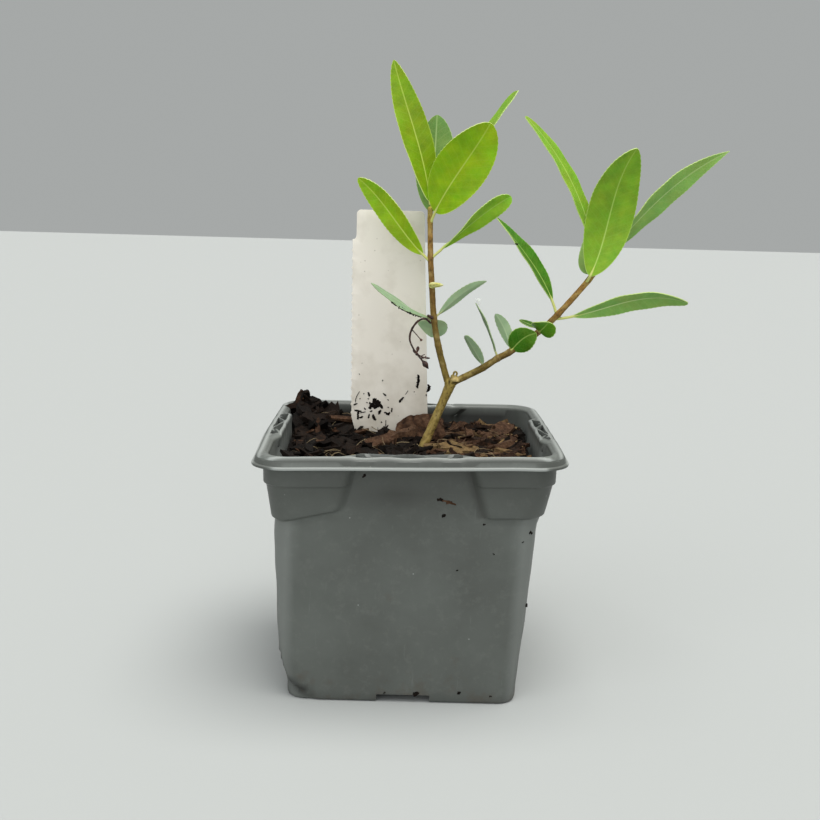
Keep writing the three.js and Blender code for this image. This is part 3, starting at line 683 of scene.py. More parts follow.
def face_outwards(blade, rib):
    """Turn an open blade's faces to its upper side."""
    middle = blade.data.polygons[len(blade.data.polygons) // 2]
    if Vector(rib.at(np.array([0.5]))[1][0]).dot(middle.normal) < 0:
        edit(blade, bpy.ops.mesh.flip_normals)


def add_rib(name, leaf, rib):
    """The leaf's stalk, which runs on under the blade as a midrib that thins to nothing."""
    stalk, sheet = add_grid(name, 10, max(16, round(leaf["length"] * 1.6)))
    t = 0.94 * sheet[:, 1]
    angle = 2 * math.pi * sheet[:, 0]
    share = leaf["petiole"] / leaf["length"]
    stout = min(0.42, 0.16 + leaf["width"] / 26)
    fall = 0.4 * ((1 - t) / (1 - share)) ** 2 + 0.48 * np.exp(-((t - share) / 0.08) ** 2)
    radius = np.where(t < share, stout, stout * (0.12 + fall))
    radius = np.where(t < share * 0.5, stout * (1.2 - 0.4 * t / share), radius) * ~is_end(sheet)
    places, face, across = rib.at(t)
    sunk = 0.75 * np.clip((t - share) / 0.08, 0, 1)
    places = places + across * (radius * np.cos(angle))[:, None]
    move_points(stalk, places + face * (radius * (np.sin(angle) - sunk))[:, None])
    write_attribute(stalk, "on_blade", np.clip((t - share) / 0.12, 0, 1))
    close_up(stalk)
    return stalk


def add_leaf(name, leaf, line, seed, skins):
    """A leaf whose skins are those of its upper side, its lower side, its margin and its stalk."""
    rib = Rib({**LEAF_USUALLY, **leaf}, line)
    blade = add_blade(name + "_blade", rib.leaf, rib, seed, skins)
    stalk = add_rib(name + "_rib", rib.leaf, rib)
    stalk.data.materials.append(skins[3])
    # each leaf's shade, partly painted light and shade, is written on all its points
    for part in (blade, stalk):
        write_attribute(part, "shade", np.full(len(part.data.vertices), rib.leaf["shade"]))
    return join(name, [blade, stalk])


# %% [markdown]
# ### Leaf skin
#
# The upper side of a leaf carries a smooth waxy skin over green cells, so it is satin, and glossy on the old
# dark leaves. The lower side is paler and dull. The midrib, which fades towards the tip, and the finest line
# along the margin have no green in them and look cream. Side veins leave the midrib every 2.5 mm and bend to
# the tip. A little light passes through a young leaf, which subsurface scattering gives.

# %% Leaf materials
VEIN_PITCH = 2.5


def make_leaf_skin(name, blade_colour, vein_colour, roughness, glow, mottle):
    """A leaf's skin, coloured by the distances from its rib and margin that its blade carries."""
    skin = start_material(name, roughness, {
        "Subsurface Weight": glow, "Subsurface Radius": (0.6, 1.0, 0.2), "Subsurface Scale": 0.6 * MM,
        "Specular IOR Level": 0.16})
    from_rib, from_margin, along, tint_and_painted_light, rib_fade = [
        add_node(skin, "Attribute", output="Fac", attribute_name=word)
        for word in ("from_rib", "from_margin", "along_leaf", "shade", "rib_fade")]
    place = add_node(skin, "TexCoord", output="Object")
    clouds = add_node(skin, "TexNoise", {"Vector": place, "Scale": waves_per_metre(4), "Detail": 4})
    cells = add_node(skin, "TexVoronoi", {"Vector": place, "Scale": waves_per_metre(0.8)},
                     feature="DISTANCE_TO_EDGE")
    blotches = add_node(skin, "TexNoise", {
        "Vector": place, "Scale": waves_per_metre(7), "Detail": 6, "Roughness": 0.7})
    shade = add_node(skin, "MapRange", {
        "Value": clouds, "From Min": 0.3, "From Max": 0.7, "To Min": 1 - mottle, "To Max": 1 + mottle})
    # the leaf's own shade scales the green: partly its colour, partly painted light and shade
    value = add_node(skin, "Math", {0: shade, 1: tint_and_painted_light}, operation="MULTIPLY")
    hue = add_node(skin, "MapRange", {
        "Value": blotches, "From Min": 0.35, "From Max": 0.65, "To Min": 0.484, "To Max": 0.518})
    green = add_node(skin, "HueSaturation", {"Hue": hue, "Value": value, "Color": blade_colour})
    net = add_node(skin, "MapRange", {"Value": cells, "From Max": 0.12, "To Min": 0.07, "To Max": 0.0})
    slant = add_node(skin, "Math", {0: from_rib, 1: 0.75}, operation="MULTIPLY")
    bent = add_node(skin, "Math", {0: along, 1: slant}, operation="SUBTRACT")
    wobble = add_node(skin, "Math", {0: clouds, 1: 0.9}, operation="MULTIPLY")
    turns = add_node(skin, "Math", {0: bent, 1: waves_per_metre(VEIN_PITCH), 2: wobble},
                     operation="MULTIPLY_ADD")
    saw = add_node(skin, "Math", {0: turns, 1: 0.5}, operation="PINGPONG")
    side_veins = add_node(skin, "MapRange", {"Value": saw, "From Max": 0.1, "To Min": 0.1, "To Max": 0.0},
                          interpolation_type="SMOOTHSTEP")
    midrib = add_node(skin, "MapRange", {
        "Value": from_rib, "From Min": 0.09 * MM, "From Max": 0.29 * MM, "To Min": 0.75, "To Max": 0.0},
        interpolation_type="SMOOTHSTEP")
    faded = add_node(skin, "Math", {0: midrib, 1: rib_fade}, operation="MULTIPLY")
    margin = add_node(skin, "MapRange", {
        "Value": from_margin, "From Min": 0.04 * MM, "From Max": 0.26 * MM, "To Min": 0.6, "To Max": 0.0},
        interpolation_type="SMOOTHSTEP")
    fine = add_node(skin, "Math", {0: net, 1: side_veins}, operation="MAXIMUM")
    broad = add_node(skin, "Math", {0: faded, 1: margin}, operation="MAXIMUM")
    pale = add_node(skin, "Math", {0: fine, 1: broad}, operation="MAXIMUM")
    paint = add_node(skin, "Mix", {"Factor": pale, UNDER: green, OVER: vein_colour}, data_type="RGBA")
    bump = add_node(skin, "Bump", {"Height": fine, "Strength": 0.35, "Distance": 0.15 * MM}, invert=True)
    finish_material(skin, {"Base Color": paint, "Normal": bump})
    return skin


def make_stalk_skin(name, roughness, bare, on_blade):
    """The skin of a stalk, whose colour fades to another where it runs on under the blade."""
    skin = start_material(name, roughness)
    share = add_node(skin, "Attribute", output="Fac", attribute_name="on_blade")
    paint = add_node(skin, "Mix", {"Factor": share, UNDER: bare, OVER: on_blade}, data_type="RGBA")
    finish_material(skin, {"Base Color": paint})
    return skin


leaf_skins = {
    "young_upper": make_leaf_skin("waxy_young_leaf", "#80a606", "#bccf60", 0.42, 0.1, 0.18),
    "young_under": make_leaf_skin("dull_young_underside", "#84a52c", "#cbd992", 0.6, 0.1, 0.12),
    "grown_upper": make_leaf_skin("waxy_grown_leaf", "#729a20", "#aecb66", 0.42, 0.06, 0.16),
    "grown_under": make_leaf_skin("dull_grown_underside", "#729848", "#bdd190", 0.6, 0.06, 0.1),
    "shade_under": make_leaf_skin("dull_leaf_in_shade", "#74954a", "#9db878", 0.6, 0.04, 0.1),
    "dark_upper": make_leaf_skin("glossy_old_leaf", "#45741a", "#a9c768", 0.3, 0.03, 0.2),
    "dull_upper": make_leaf_skin("weathered_leaf", "#86a070", "#a9bb8c", 0.6, 0.03, 0.12),
    "dull_under": make_leaf_skin("weathered_underside", "#93ad86", "#aabd98", 0.68, 0.03, 0.1),
}
leaf_rims = {
    "young": start_material("cream_leaf_margin", 0.5, {"Base Color": "#d2e08e"}),
    "grown": start_material("grown_leaf_margin", 0.5, {"Base Color": "#b3cb72"}),
    "dark": start_material("old_leaf_margin", 0.5, {"Base Color": "#a4bb62"}),
    "dull": start_material("dull_leaf_margin", 0.6, {"Base Color": "#93a878"}),
}
leaf_rims["shade"] = leaf_rims["dull"]
leaf_stalk = make_stalk_skin("cream_leaf_stalk", 0.5, "#c2c672", "#a3b84a")
dull_stalk = make_stalk_skin("dull_leaf_stalk", 0.6, "#a8ab70", "#97a878")

# %% [markdown]
# Each leaf is given the skins that suit its age. Where the plain model has one solid for a whole crown, its
# four leaves are joined into one piece.

# %% Grow the leaves
LEAF_SKINS = {  # the upper and the lower side
    "left_crown": {"tall": ("young_upper", "young_under"), "far": ("grown_upper", "grown_under"),
                   "broad": ("young_upper", "young_upper"), "behind": ("grown_under", "grown_under")},
    "right_crown": {"broad": ("grown_upper", "grown_upper"), "behind": ("shade_under", "shade_under"),
                    "left": ("grown_upper", "grown_under"), "right": ("grown_under", "grown_under")},
    "leaf_left": {"mid_left": ("young_upper", "young_upper"), "mid_right": ("grown_upper", "young_upper"),
                  "low_left": ("dull_upper", "dull_under"), "low_right": ("dull_upper", "dull_under"),
                  "low_back": ("dull_under", "dull_under")},
    "leaf_right": {"first": ("dull_upper", "dull_under"), "thin": ("dull_upper", "dull_under"),
                   "small_back": ("dull_upper", "dull_under"), "round": ("dark_upper", "dark_upper"),
                   "small_front": ("dark_upper", "dark_upper"), "small_dark": ("dark_upper", "dull_under"),
                   "mid_left": ("dark_upper", "dark_upper"), "mid_right": ("grown_under", "grown_under")},
}
CROWN_SLOTS = {"left_crown": "young_leaf", "right_crown": "grown_leaf"}
seed = 0.0
leaf_pieces = {}
for group, specs in LEAVES.items():
    line = lines["left" if "left" in group else "right"]
    grown = {}
    for place, spec in specs.items():
        seed += 0.37
        upper, lower = LEAF_SKINS[group][place]
        skins = (leaf_skins[upper], leaf_skins[lower], leaf_rims[upper.split("_")[0]],
                 dull_stalk if "dull" in upper else leaf_stalk)
        leaf = add_leaf(group + "_" + place + "_grown", spec, line, seed, skins)
        smooth(leaf, 50)
        grown[group + "_" + place] = leaf
    if group in CROWN_SLOTS:
        hand_over(join(group + "_leaves", list(grown.values())), [group])
        continue
    for node, leaf in grown.items():
        hand_over(leaf, [node])
    leaf_pieces.update(grown)

# %% [markdown]
# ## The pot
#
# The pot is one moulding of polypropylene, 0.8 mm thick. A list of levels runs up its outside, over the rim
# and down its inside to the floor. At each level the pot is a rounded square whose middle thirds may lie
# further in than its corners: that makes the corner panels outside and the lugs in the rim inside. The grid
# is rolled up once more, this time round those squares.

# %% The pot's levels
FOOT, WALL_TOP, SHOULDER, RIDGE, LIP = 35.1, 38.4, 39.6, 41.8, 45.0  # half widths
RIM_OUTER, RIM_INNER, LUG_INNER = 43.5, 40.3, 38.5
SHOULDER_Z, RIDGE_Z, LIP_Z, POT_TOP = 57.9, 71.0, 73.6, 77.0
LUG_FLAT, LUG_END = 16.3, 20.3  # half the length of a lug, without and with its ramps
WALL, FLOOR_THICKNESS = 0.8, 1.2


def ramp(value, start, end):
    """How far a value is on its way from start to end, from 0 to 1."""
    return np.clip((value - start) / (end - start), 0, 1)


def smoothstep(value, start, end):
    share = ramp(value, start, end)
    return share * share * (3 - 2 * share)


def straight_wall(z):
    return FOOT + (WALL_TOP - FOOT) * z / SHOULDER_Z


# height, half width at the corners and in the middle, corner radius, height in the middle
POT_LEVELS = [
    (0, 0.01, 0.01, 0.005, 0), (0, 20, 20, 4, 0), (0, FOOT - 1.2, FOOT - 1.2, 5, 0),
    (0.35, FOOT - 0.35, FOOT - 0.35, 5.6, 0.35), (1.2, FOOT, FOOT, 6, 1.2),
    (SHOULDER_Z, WALL_TOP, WALL_TOP, 6, SHOULDER_Z),
    (58.7, SHOULDER, straight_wall(58.7), 7.5, 58.7),
    (67.7, RIDGE - 0.85, straight_wall(67.7), 7.5, 67.7),
    (68.2, RIDGE - 0.15, straight_wall(68.2), 7.5, 68.2),
    (75.8, RIDGE, straight_wall(73.9), 7.5, 73.9),
    (75.8, 44.0, 44.0, 9.5, 73.9),
    (LIP_Z, 44.3, 44.3, 9.5, LIP_Z),
    (LIP_Z, LIP, LIP, 10, LIP_Z),
    (74.35, LIP, LIP, 10, 74.35),
    (74.5, LIP - 1.05, LIP - 1.05, 9.7, 74.5),
    (75.9, RIM_OUTER + 0.38, RIM_OUTER + 0.38, 9.6, 75.9),
    (76.45, RIM_OUTER + 0.15, RIM_OUTER + 0.15, 9.5, 76.45),
    (76.8, RIM_OUTER - 0.25, RIM_OUTER - 0.25, 9.3, 76.8),
    (76.97, RIM_OUTER - 0.75, RIM_OUTER - 0.75, 9.1, 76.97),
    (POT_TOP, RIM_OUTER - 1.15, RIM_OUTER - 1.2, 8.9, POT_TOP),
    (76.9, 41.85, 41.2, 8.7, 76.95),
    (76.65, 41.2, 40.1, 8.5, 76.85),
    (76.35, 40.65, 39.2, 8.2, 76.75),
    (75.9, RIM_INNER + 0.05, LUG_INNER + 0.15, 8, 76.4),
    (75.2, RIM_INNER, LUG_INNER, 8, 75.8),
    (RIDGE_Z, RIM_INNER - 0.3, straight_wall(RIDGE_Z) - WALL, 7.5, RIDGE_Z),
    (58.7, SHOULDER - WALL, straight_wall(58.7) - WALL, 6.7, 58.7),
    (SHOULDER_Z, WALL_TOP - WALL, WALL_TOP - WALL, 5.2, SHOULDER_Z),
    (2.4, FOOT - WALL, FOOT - WALL, 5.2, 2.4),
    (FLOOR_THICKNESS, FOOT - 2, FOOT - 2, 4.2, FLOOR_THICKNESS),
    (FLOOR_THICKNESS, 20, 20, 4, FLOOR_THICKNESS), (FLOOR_THICKNESS, 0.01, 0.01, 0.005, FLOOR_THICKNESS),
]
SIDE_STEPS, RAMP_STEPS, LUG_STEPS, ARC_STEPS = 5, 6, 26, 12
WIDEST_STRAIGHT = 27  # the straight part of a square on which the lugs have their full size


def pot_ring(z, corner, middle, radius, middle_z):
    """The points of one level, a quarter after the other."""
    straight = corner - radius
    slope = np.linspace(LUG_FLAT, LUG_END, RAMP_STEPS + 1)[1:]
    lug = LUG_FLAT
    if straight < LUG_END + 1:  # on a small square the lugs shrink with it
        slope = slope * straight / WIDEST_STRAIGHT
        lug = lug * straight / WIDEST_STRAIGHT
    out = np.linspace(slope[-1], max(straight, slope[-1]), SIDE_STEPS + 1)[1:]
    flat = np.linspace(-1, 1, LUG_STEPS + 1) * lug
    run = np.concatenate([-out[::-1], -slope[::-1], flat, slope, out])
    inward = smoothstep(-np.abs(run), -LUG_END, -LUG_FLAT)
    side = np.stack([corner + (middle - corner) * inward, run, z + (middle_z - z) * inward], 1)
    angle = np.linspace(0, math.pi / 2, ARC_STEPS + 1)[1:-1]
    arc = np.stack([straight + radius * np.cos(angle), straight + radius * np.sin(angle),
                    np.full(len(angle), z)], 1)
    quarter = np.concatenate([side, arc])
    return np.concatenate([np.stack([
        c * quarter[:, 0] - s * quarter[:, 1], s * quarter[:, 0] + c * quarter[:, 1], quarter[:, 2]], 1)
        for c, s in ((1, 0), (0, 1), (-1, 0), (0, -1))])


def roll_up(name, levels, spacing=2.2):
    """A closed skin through rings of equal counts, with more rings between levels that lie far apart."""
    rings = []
    for low, high in zip(levels, levels[1:]):
        gap = max(abs(high[0] - low[0]), abs(high[1] - low[1]) / 2)
        steps = max(1, round(gap / spacing))
        for i in range(steps):
            rings.append(pot_ring(*[a + (b - a) * i / steps for a, b in zip(low, high)]))
    rings.append(pot_ring(*levels[-1]))
    around = len(rings[0])
    skin, sheet = add_grid(name, around, len(rings) - 1)
    row = np.round(sheet[:, 1] * (len(rings) - 1)).astype(int)
    column = np.round(sheet[:, 0] * around).astype(int) % around
    move_points(skin, np.array(rings)[row, column])
    close_up(skin, 0.02)
    return skin


pot = roll_up("moulded_pot", POT_LEVELS)
modify(pot, "BEVEL", limit_method="ANGLE", angle_limit=math.radians(24), width=0.22 * MM, segments=2)
print("The pot's skin has", len(pot.data.polygons), "faces")

# %% [markdown]
# The cut-outs come next. Each side of the foot has a notch with a raised roof inside the pot and a drain
# slot through it. Each lug has five pockets between thin zigzag webs. A pocket's cutter starts as a flat
# triangle with rounded corners, is pushed up through the rim, and flares at the top to soften the edge.

# %% Notches, slots and lug pockets
def add_box(name, low, high, rounding=0.0):
    pick()
    low, high = np.array(low, float), np.array(high, float)
    bpy.ops.mesh.primitive_cube_add(size=1, location=(low + high) / 2 * MM)
    box = bpy.context.object
    box.name = name
    box.scale = (high - low) * MM
    bpy.ops.object.transform_apply(location=True, rotation=True, scale=True)
    if rounding:
        modify(box, "BEVEL", width=rounding * MM, segments=2)
    return box


def copy_turned(piece, degrees):
    """A copy with its own mesh, turned round the pot's middle."""
    pick(piece)
    bpy.ops.object.duplicate()
    copy = bpy.context.object
    copy.rotation_euler.z = math.radians(degrees)
    bpy.ops.object.transform_apply(location=True, rotation=True, scale=True)
    return copy


def all_round(pieces, name):
    """Join pieces for one side of the pot with copies of them for the other three sides."""
    side = join(name + "_of_one_side", pieces)
    return join(name, [side] + [copy_turned(side, turn) for turn in (90, 180, 270)])


def boolean(piece, other, operation):
    modify(piece, "BOOLEAN", object=other, operation=operation, solver="EXACT")
    bpy.data.objects.remove(other)


NOTCH_HALF, NOTCH_HEIGHT, NOTCH_REACH, NOTCH_ROOF = 7.9, 2.5, 10, 1.1
NOTCH_BACK = FOOT - NOTCH_REACH
roof = add_box("roof", (NOTCH_BACK - NOTCH_ROOF, -NOTCH_HALF - NOTCH_ROOF, 0.6),
               (FOOT - 0.4, NOTCH_HALF + NOTCH_ROOF, NOTCH_HEIGHT + NOTCH_ROOF), 0.3)
boolean(pot, all_round([roof], "roofs"), "UNION")
notch = add_box("notch", (NOTCH_BACK, -NOTCH_HALF, -2), (FOOT + 2, NOTCH_HALF, NOTCH_HEIGHT), 0.25)
boolean(pot, all_round([notch], "notches"), "DIFFERENCE")
slot = add_box("slot", (27.3, -3.5, 0), (31.3, 3.5, 6), 0.6)
boolean(pot, all_round([slot], "slots"), "DIFFERENCE")

LUG_POCKETS = [  # corners as (out from the middle, along the side), and the pocket's floor
    ([(42.1, -15.0), (42.1, -10.3), (39.5, -15.0)], 74.4),
    ([(39.35, -13.8), (39.35, -1.5), (41.9, -9.0)], 75.3),
    ([(42.1, -7.8), (42.1, 7.8), (39.5, 0)], 74.4),
    ([(39.35, 13.8), (39.35, 1.5), (41.9, 9.0)], 75.3),
    ([(42.1, 15.0), (42.1, 10.3), (39.5, 15.0)], 74.4),
]


def add_pocket(corners, floor_z):
    """A cutter for one pocket between the webs."""
    pick()
    bpy.ops.mesh.primitive_circle_add(vertices=3, radius=1, fill_type="NGON")
    pocket = bpy.context.object
    move_points(pocket, [(out, along, floor_z) for out, along in corners])
    pick(pocket)
    bpy.ops.object.mode_set(mode="EDIT")
    bpy.ops.mesh.select_all(action="SELECT")
    bpy.ops.mesh.bevel(affect="VERTICES", offset=0.5 * MM, segments=4)
    bpy.ops.mesh.select_all(action="SELECT")
    rise = (POT_TOP - floor_z - 0.45) * MM
    bpy.ops.mesh.extrude_region_move(TRANSFORM_OT_translate={"value": (0, 0, rise)})
    bpy.ops.mesh.extrude_region_move(TRANSFORM_OT_translate={"value": (0, 0, 0.9 * MM)})
    middle = sum((Vector((out, along, POT_TOP)) for out, along in corners), Vector()) / 3 * MM
    bpy.ops.transform.resize(value=(1.06, 1.02, 1), center_override=middle)
    bpy.ops.object.mode_set(mode="OBJECT")
    close_up(pocket)
    return pocket


pockets = all_round([add_pocket(*pocket) for pocket in LUG_POCKETS], "pockets")
boolean(pot, pockets, "DIFFERENCE")
print("With its cut-outs the pot has", len(pot.data.polygons), "faces")

# %% [markdown]
# A used pot isn't true any more. Its thin walls are pressed in on the right, bulge near the front left
# corner and wave between the corners. That corner of the foot is dented in below a slanting crease, and the
# lugs' inner walls ripple with the webs behind them. Shares of wear, painted light and painted shade are
# written down for the plastic: worn corners, lighter faces that look up, painted highlights on the crests
# and the lip, painted light on the inner side walls, painted shade on the inner front and back walls, on the
# rim's band, under the rim and in front, and a painted shadow in the crease's fold.

# %% Bends, waves and dents of a used pot
places = places_of(pot)
x, y, z = places.T.copy()
reach = np.maximum(np.abs(x), np.abs(y))
sideways = np.abs(x) > np.abs(y)
run = np.where(sideways, y, x)
looks_out = (read_points(pot, "normal") * places)[:, :2].sum(1) > 0


def push_out(amount):
    """Move points away from the pot's middle, square to the side on which they are."""
    places[:, 0] += np.where(sideways, np.sign(x) * amount, 0)
    places[:, 1] += np.where(sideways, 0, np.sign(y) * amount)


# the walls
squeeze = np.interp(z, [0, 20, 30, 40, 50, 55, 58.2], [1.35, 1.1, 0.85, 0.5, 0.4, 0.7, 0])
places[:, 0] -= squeeze * ramp(x, 15, 30)
waves = np.empty(len(places))
for i, place in enumerate(places):
    waves[i] = noise.fractal(Vector((x[i], y[i], z[i])) / 26 + Vector((3.1, 0.4, 1.7)), 1, 2, 3)
push_out(0.55 * waves * ramp(z, 0, 6) * ramp(z, 68, 56) * ramp(reach, 30, 34))
bulge = np.interp(z, [2.5, 5, 8, 13, 20, 52, 58], [0, 0.2, 1.15, 1.65, 1.6, 0.6, 0])
places[:, 0] -= bulge * ramp(x, -18, -30) * ramp(y, 12, -18)

# the corner panels
on_panel = (z > 57) & (z < 73.4) & (reach > 37.5)
groove = 0.4 * np.exp(-((np.abs(run) - 17.2) / 0.9) ** 2) * on_panel * looks_out * (z > 58.3) * (z < 72.8)
push_out(-groove)
rise = np.clip((z - 57.9) / 13, 0, 1.2)
front_right = ~sideways & (y < 0) & (x > 0)
slant = np.where(front_right, 4.5 - 3.9 * rise, 1.7 - 3.4 * rise)
slant *= np.sign(run) * np.interp(np.abs(run), [8, 15, 21, 33], [0, 1, 1, 0]) * on_panel
places[:, 0] += np.where(sideways, 0, slant)
places[:, 1] += np.where(sideways, slant, 0)
places[:, 0] += 0.85 * ramp(x, 20, 35) * ramp(z, 59, 67) * np.cos((y + 8) / 32)

# the lugs' inner walls
ripple = 0.07 * np.cos(2 * math.pi * run / 6.2 + 0.6) * ramp(z, 60, 70)
inside = (reach < 39.3) & (reach > 36.5) & (z > 60)
push_out(ripple * inside * ramp(np.abs(run), LUG_FLAT, LUG_FLAT - 3))

# the dented corner
CREASE = {"x": (-35.3, -33.6, -25.2), "z": (13.8, 5.7, 1.0)}
crease_z = np.interp(x, CREASE["x"], CREASE["z"])
dent = 1.3 * ramp(crease_z - z, 0, 1.1) * ramp(z, -0.75, 2.25) * ramp(x, -24, -27) * ramp(y, -24, -30)
places[:, 0] += 0.3 * dent
places[:, 1] += 1.25 * dent
# a painted shadow in the fold under the crease
painted_fold_shadow = np.exp(-((z - crease_z + 0.4) / 1.5) ** 2) * ramp(x, -26, -29) * (y < -18)

# the rim and the shoulder
rim_wave = 0.18 * np.sin(x / 9 + 1) * np.cos(y / 11) * ramp(z, 70, 76)
places[:, 2] = np.where(z > 70, z + rim_wave, z)
on_lug = (z > 76) & (np.abs(run) < 15.5)
scallop = np.cos(run * math.pi / 12.4) ** 2
places[:, 2] -= 0.3 * scallop * (on_lug & (reach > 41))
places[:, 2] += (0.15 + 0.4 * scallop) * (on_lug & (reach < 40.9)) * ramp(np.abs(run), 16, 14)
places[:, 2] -= 1.6 * smoothstep(-y, 5, 35) * ramp(x, 30, -35) * ramp(z, 20, 55)
sagged = np.exp(-((z - 58.3) / 3) ** 2) * ramp(y, -30, -35) * (x < 0)
places[:, 2] += 0.18 * (np.clip(x, -36, -18) + 30.5) * sagged * ramp(x, -8, -18)
places[:, 2] = np.minimum(places[:, 2], 77.55)
move_points(pot, places)
smooth(pot, 32)

# wear, and painted light, highlights, shade and shadow
# painted highlights along the rim's crest and along the lugs' inner top edges
painted_crest_highlight = np.exp(-((reach - 42.5) / 0.75) ** 2) * (z > 76)
painted_crest_highlight = np.maximum(painted_crest_highlight, np.exp(-((reach - 38.9) / 0.5) ** 2) * on_lug)
facing_side = np.clip((np.abs(x) - np.abs(y)) / 8, -1, 1)
# painted light on the inner side walls
painted_light_on_side_walls = 0.45 * (reach < 41) * (z > 62) * (z < 75.5) * np.maximum(facing_side, 0) * ~looks_out
# a painted highlight on the lip's edge
painted_lip_highlight = ramp(reach, 44.2, 44.5) * (np.abs(z - 74) < 1.2)
corner_wear = 0.28 * ramp(np.minimum(np.abs(x), np.abs(y)), 31, 34) * looks_out * (z < 58)
# lighter where the faces of the ridge look up
lighter_facing_up = 0.3 * np.clip(read_points(pot, "normal")[:, 2] - 0.25, 0, 0.75) * ramp(z, 66, 70)
# worn corners, together with painted light and painted highlights
write_attribute(pot, "wear_and_painted_light", np.max([lighter_facing_up, corner_wear, painted_light_on_side_walls, painted_crest_highlight, painted_lip_highlight], axis=0))
# painted shade on the inner front and back walls, darkest near the top, and the painted shadow in the fold
inner_wall = (reach < 40.2) * (z > 2) * (z < 75.5) * ~looks_out * np.maximum(-facing_side, 0)
painted_shade_on_walls = inner_wall * (0.45 + 0.55 * ramp(z, 66, 73))
write_attribute(pot, "inside", np.maximum(painted_shade_on_walls, painted_fold_shadow * looks_out))
# painted shade: a soft patch on the front wall, a dark line in its right groove, a darker band on the rim,
# and shade under the rim
in_front = (y < -30) & looks_out & (z < 72.8)
painted_shade = 0.5 * np.exp(-((x + 3) / 8) ** 2 - ((z - 65) / 3) ** 2)
painted_shade += 0.6 * np.exp(-((x - 17.2) / 1.4) ** 2) * (z > 58.5)
on_band = (z > 73.5) * (reach > 41.2) * (reach < 44) * (1 - np.clip(2 * painted_crest_highlight, 0, 1))
painted_shade_under_rim = 0.3 * ramp(z, 56, 66) * looks_out * (z < 72.8)
write_attribute(pot, "painted_shade", painted_shade * in_front + 0.35 * on_band + painted_shade_under_rim)

# %% [markdown]
# ### Pot plastic
#
# Grey polypropylene is satin and even, with a fine grain from the mould. In use it gets faint vertical
# scuffs, a film of pale dust, worn corners and brown smears of mix that are thickest near its foot. Painted
# highlights and painted light lighten its rim and inner side walls, and painted shade darkens its inside,
# its rim's band and its front.

# %% Pot material
pot_plastic = start_material("polypropylene_grey", 0.48, {"Specular IOR Level": 0.4})
place = add_node(pot_plastic, "TexCoord", output="Object")
height = add_node(pot_plastic, "SeparateXYZ", {0: place}, output="Z")
read = {name: add_node(pot_plastic, "Attribute", output="Fac", attribute_name=name)
        for name in ("wear_and_painted_light", "inside", "painted_shade")}
NOISES = {  # the size of the features in millimetres, how much detail they have and how rough it is
    "clouds": (22, 5, 0.6), "dust": (3, 8, 0.75), "smears": (9, 6, 0.7), "mould grain": (0.5, 4, 0.5),
}
noises = {name: add_node(pot_plastic, "TexNoise", {
    "Vector": place, "Scale": waves_per_metre(size), "Detail": detail, "Roughness": rough})
    for name, (size, detail, rough) in NOISES.items()}
colour = add_node(pot_plastic, "ValToRGB", {"Fac": noises["clouds"]}, stops=[
    (0.3, "#4b4e4a"), (0.7, "#565a56")])
dust_mask = add_node(pot_plastic, "MapRange", {
    "Value": noises["dust"], "From Min": 0.52, "From Max": 0.75, "To Max": 0.35})
drawn_out = add_node(pot_plastic, "Mapping", {"Vector": place, "Scale": (1, 1, 0.12)})
scuffs = add_node(pot_plastic, "TexNoise", {"Vector": drawn_out, "Scale": waves_per_metre(1.4), "Detail": 3})
scuff_mask = add_node(pot_plastic, "MapRange", {
    "Value": scuffs, "From Min": 0.68, "From Max": 0.8, "To Max": 0.1})
specks = add_node(pot_plastic, "TexVoronoi", {"Vector": place, "Scale": waves_per_metre(6.5)})
speck_mask = add_node(pot_plastic, "MapRange", {
    "Value": specks, "From Min": 0.04, "From Max": 0.02, "To Max": 0.4})
# wear, painted highlights and painted light make the plastic paler
wear_and_light_mask = add_node(pot_plastic, "Math", {0: read["wear_and_painted_light"], 1: 0.8}, operation="MULTIPLY")
# painted shade on the inner walls and painted shadow in the fold, a little patchy
patchiness = add_node(pot_plastic, "MapRange", {
    "Value": noises["clouds"], "From Min": 0.35, "From Max": 0.6, "To Min": 0.9})
darkening_mask = add_node(pot_plastic, "Math", {0: read["inside"], 1: patchiness}, operation="MULTIPLY")
low_part = add_node(pot_plastic, "MapRange", {
    "Value": height, "From Min": 0.02, "From Max": 0.0, "To Max": 0.2})
smear_level = add_node(pot_plastic, "Math", {0: noises["smears"], 1: low_part}, operation="ADD")
smear_mask = add_node(pot_plastic, "MapRange", {
    "Value": smear_level, "From Min": 0.66, "From Max": 0.82, "To Max": 0.5})
# coats: dust, scuffs, specks, wear with painted light, painted shade and shadow, more painted shade, and
# smears
for mask, coat in ((dust_mask, "#6e716c"), (scuff_mask, "#a4aaa6"), (speck_mask, "#b2b6b0"),
                   (wear_and_light_mask, "#9da19e"), (darkening_mask, "#20211e"), (read["painted_shade"], "#343531"),
                   (smear_mask, "#4c4338")):
    colour = add_node(pot_plastic, "Mix", {"Factor": mask, UNDER: colour, OVER: coat}, data_type="RGBA")
dull = add_node(pot_plastic, "MapRange", {
    "Value": noises["dust"], "From Min": 0.4, "From Max": 0.7, "To Min": 0.42, "To Max": 0.6})
bump = add_node(pot_plastic, "Bump", {
    "Height": noises["mould grain"], "Strength": 0.25, "Distance": 0.04 * MM})
finish_material(pot_plastic, {"Base Color": colour, "Roughness": dull, "Normal": bump})
hand_over(pot, ["pot"], [pot_plastic])

# %% [markdown]
# ## The potting mix
#
# The mix is composted pine bark. Its bed is one block that fills the pot, with a lumpy top. It is banked up
# to the left and heaped in the back left corner, and it follows the pot's bent walls. Over it lie flat
# flakes and splinters of bark, crumbs and a few pale fibres.

# %% The bed of the mix
MIX_LEVEL = 70.3
HEAP = {"x": -37, "y": 32, "height": 5.6, "spread": 6}


